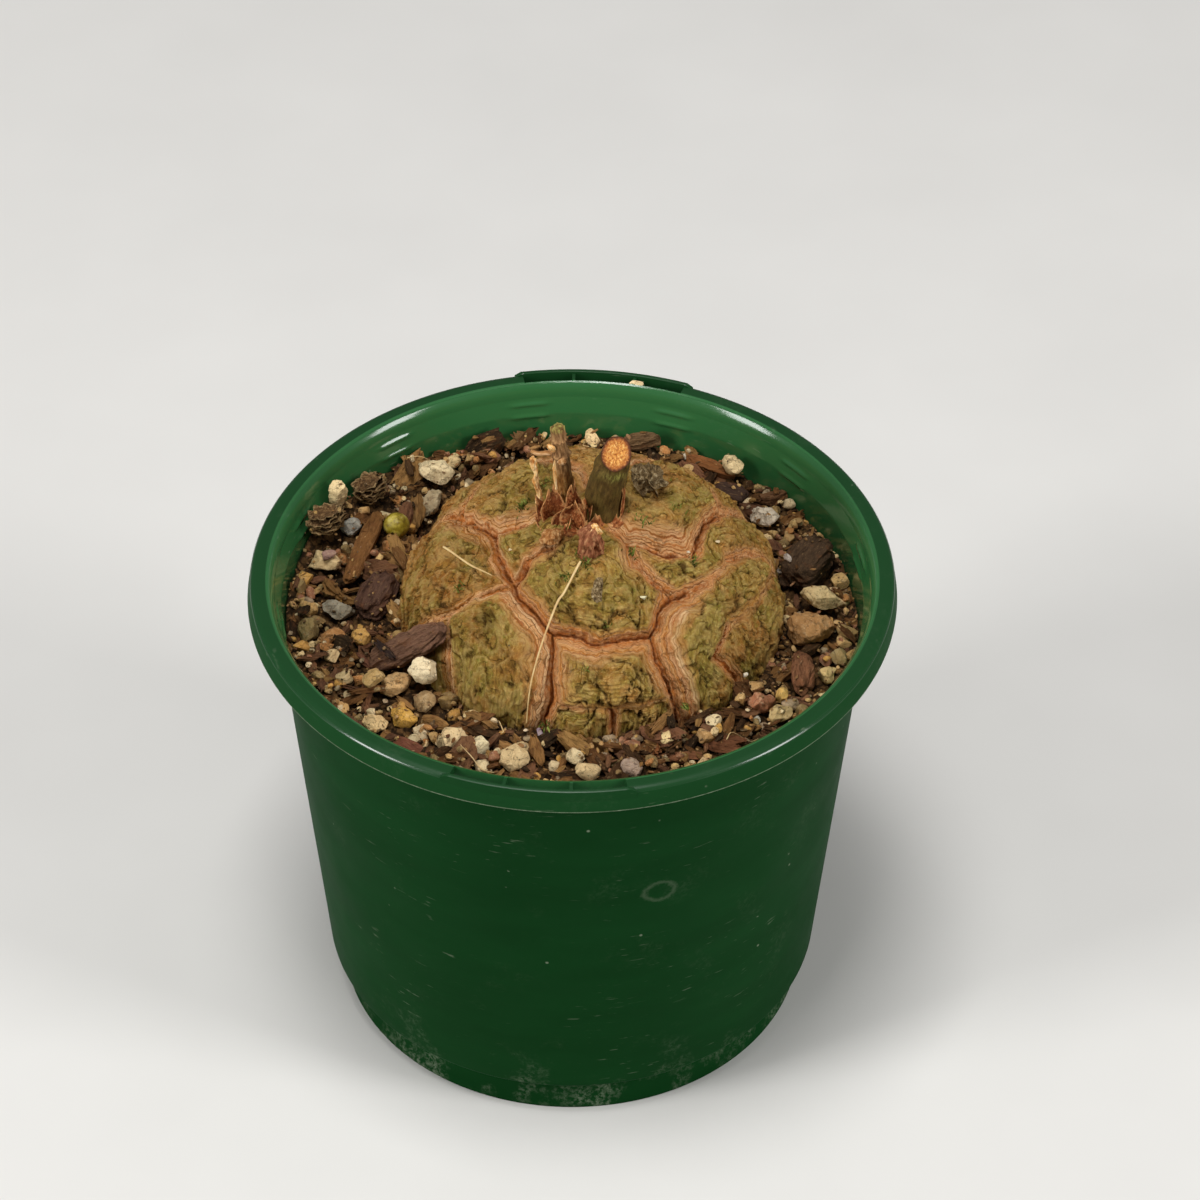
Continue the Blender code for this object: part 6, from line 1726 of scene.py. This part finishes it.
def studio():
    """A pale floor, soft boxes to the left, to the right and above, and an even dim surround."""
    s = Surface("floor_paper", Roughness=0.95, Specular_IOR_Level=0.1)
    tone = s.place().noise(60, 3).ramp((0.3, "DAD8D4"), (0.7, "DEDCD8"))
    bpy.ops.mesh.primitive_grid_add(x_subdivisions=2, y_subdivisions=2, size=8.0)
    floor = bpy.context.object
    floor.name = "floor"
    floor.data.materials.append(s.dress(Base_Color=tone))
    world = bpy.data.worlds.new("surround")
    world.use_nodes = True
    sky = world.node_tree.nodes["Background"]
    sky.inputs["Color"].default_value = linear("ECEEF0")
    sky.inputs["Strength"].default_value = 0.19
    bpy.context.scene.world = world
    for name, place, size, power in (("soft_box_left", (-1.42, -0.64, 0.74), (0.45, 1.0), 20.0),
                                     ("soft_box_right", (1.45, -0.60, 0.72), (0.45, 1.0), 18.0),
                                     ("soft_box_top", (-0.1, -0.2, 1.5), (0.45, 0.45), 12.0)):
        lamp = bpy.data.lights.new(name, "AREA")
        lamp.shape, lamp.size, lamp.size_y, lamp.energy = "RECTANGLE", *size, power
        towards = Vector((0, 0, 0.10)) - Vector(place)
        aim = towards.to_track_quat("-Z", "Y").to_matrix().to_4x4()
        placed(name, lamp).matrix_world = Matrix.Translation(place) @ aim


def camera():
    """Looks down at the pot from the front, a little past its middle and with a slight roll."""
    lift, away, roll = math.radians(40.91), 0.9681, math.radians(0.44)
    past_right, past_up = (math.tan(math.radians(angle)) for angle in (0.35, -0.37))
    place = Vector((0, -away * math.cos(lift), away * math.sin(lift)))
    ahead, right = -place.normalized(), Vector((1, 0, 0))
    ahead = (ahead + past_right * right + past_up * right.cross(ahead)).normalized()
    side = ahead.cross(Vector((0, 0, 1))).normalized()
    top = side.cross(ahead)
    right = math.cos(roll) * side + math.sin(roll) * top
    up = -math.sin(roll) * side + math.cos(roll) * top
    lens = bpy.data.cameras.new("camera")
    lens.lens, lens.sensor_width, lens.clip_start = 135, 36, 0.01
    thing = placed("camera", lens)
    thing.matrix_world = Matrix.Translation(place + Vector((0, 0, POT_HEIGHT * MM))) @ Matrix(
        (right, up, -ahead)).transposed().to_4x4()
    bpy.context.scene.camera = thing


def main():
    """The whole scene."""
    camera()
    studio()
    bpy.context.scene.view_settings.view_transform = "Standard"
    gravel, bark, paper = weathered_gravel(), pine_bark(), papery_bract()
    straw, wood = dry_grass(), split_wood()
    pot(moulded_polypropylene())
    caudex(caudex_cork())
    laid = [gravel_stone(node, gravel, *look) for node, look in GRAVEL.items()]
    laid += [bark_piece(node, bark, *look) for node, look in BARK.items()]
    scale = cone_scale()
    laid.append(cone_scales("cone_scales_left", scale, (8, -10, 20), 8, 2))
    laid.append(cone_scales("cone_scales_right", scale, (0, -14, 30), 7, 4))
    prill(resin_prill())
    mix_bed(humus_fines())
    scatter(gravel, bark, straw, laid)
    brown = stem_bark("main_stem_bark", "3A200C", "8A5A28", "C89A5C", "5E3414", 0.6)
    twig = stem_bark("stem_twig_bark", "74441E", "B88450", "ECCCA0", "96602E", 0.4)
    olive = stem_bark("sawn_stub_bark", "34240E", "54401B", "74592D", "422C12", 0.6, "5E6026", 0.12)
    pink = stem_bark("short_stem_bark", "4A2612", "92583A", "D4A070", "6C3E26", 0.5)
    main_stem(brown, wood, twig)
    sawn_stub(olive, sawn_stem_end())
    short_stem(pink, wood)
    split_sliver(wood)
    bracts(paper)
    leaf = crumpled_leaf()
    knob_and_debris(stem_bark("knob_bark", "5E3210", "A06A38", "DCB47E", "7E4A1E", 0.5), leaf)
    grass(straw)
    chip_and_grains(leaf, gravel)
    moss_tufts(moss_leaf())


main()
bpy.context.view_layer.update()
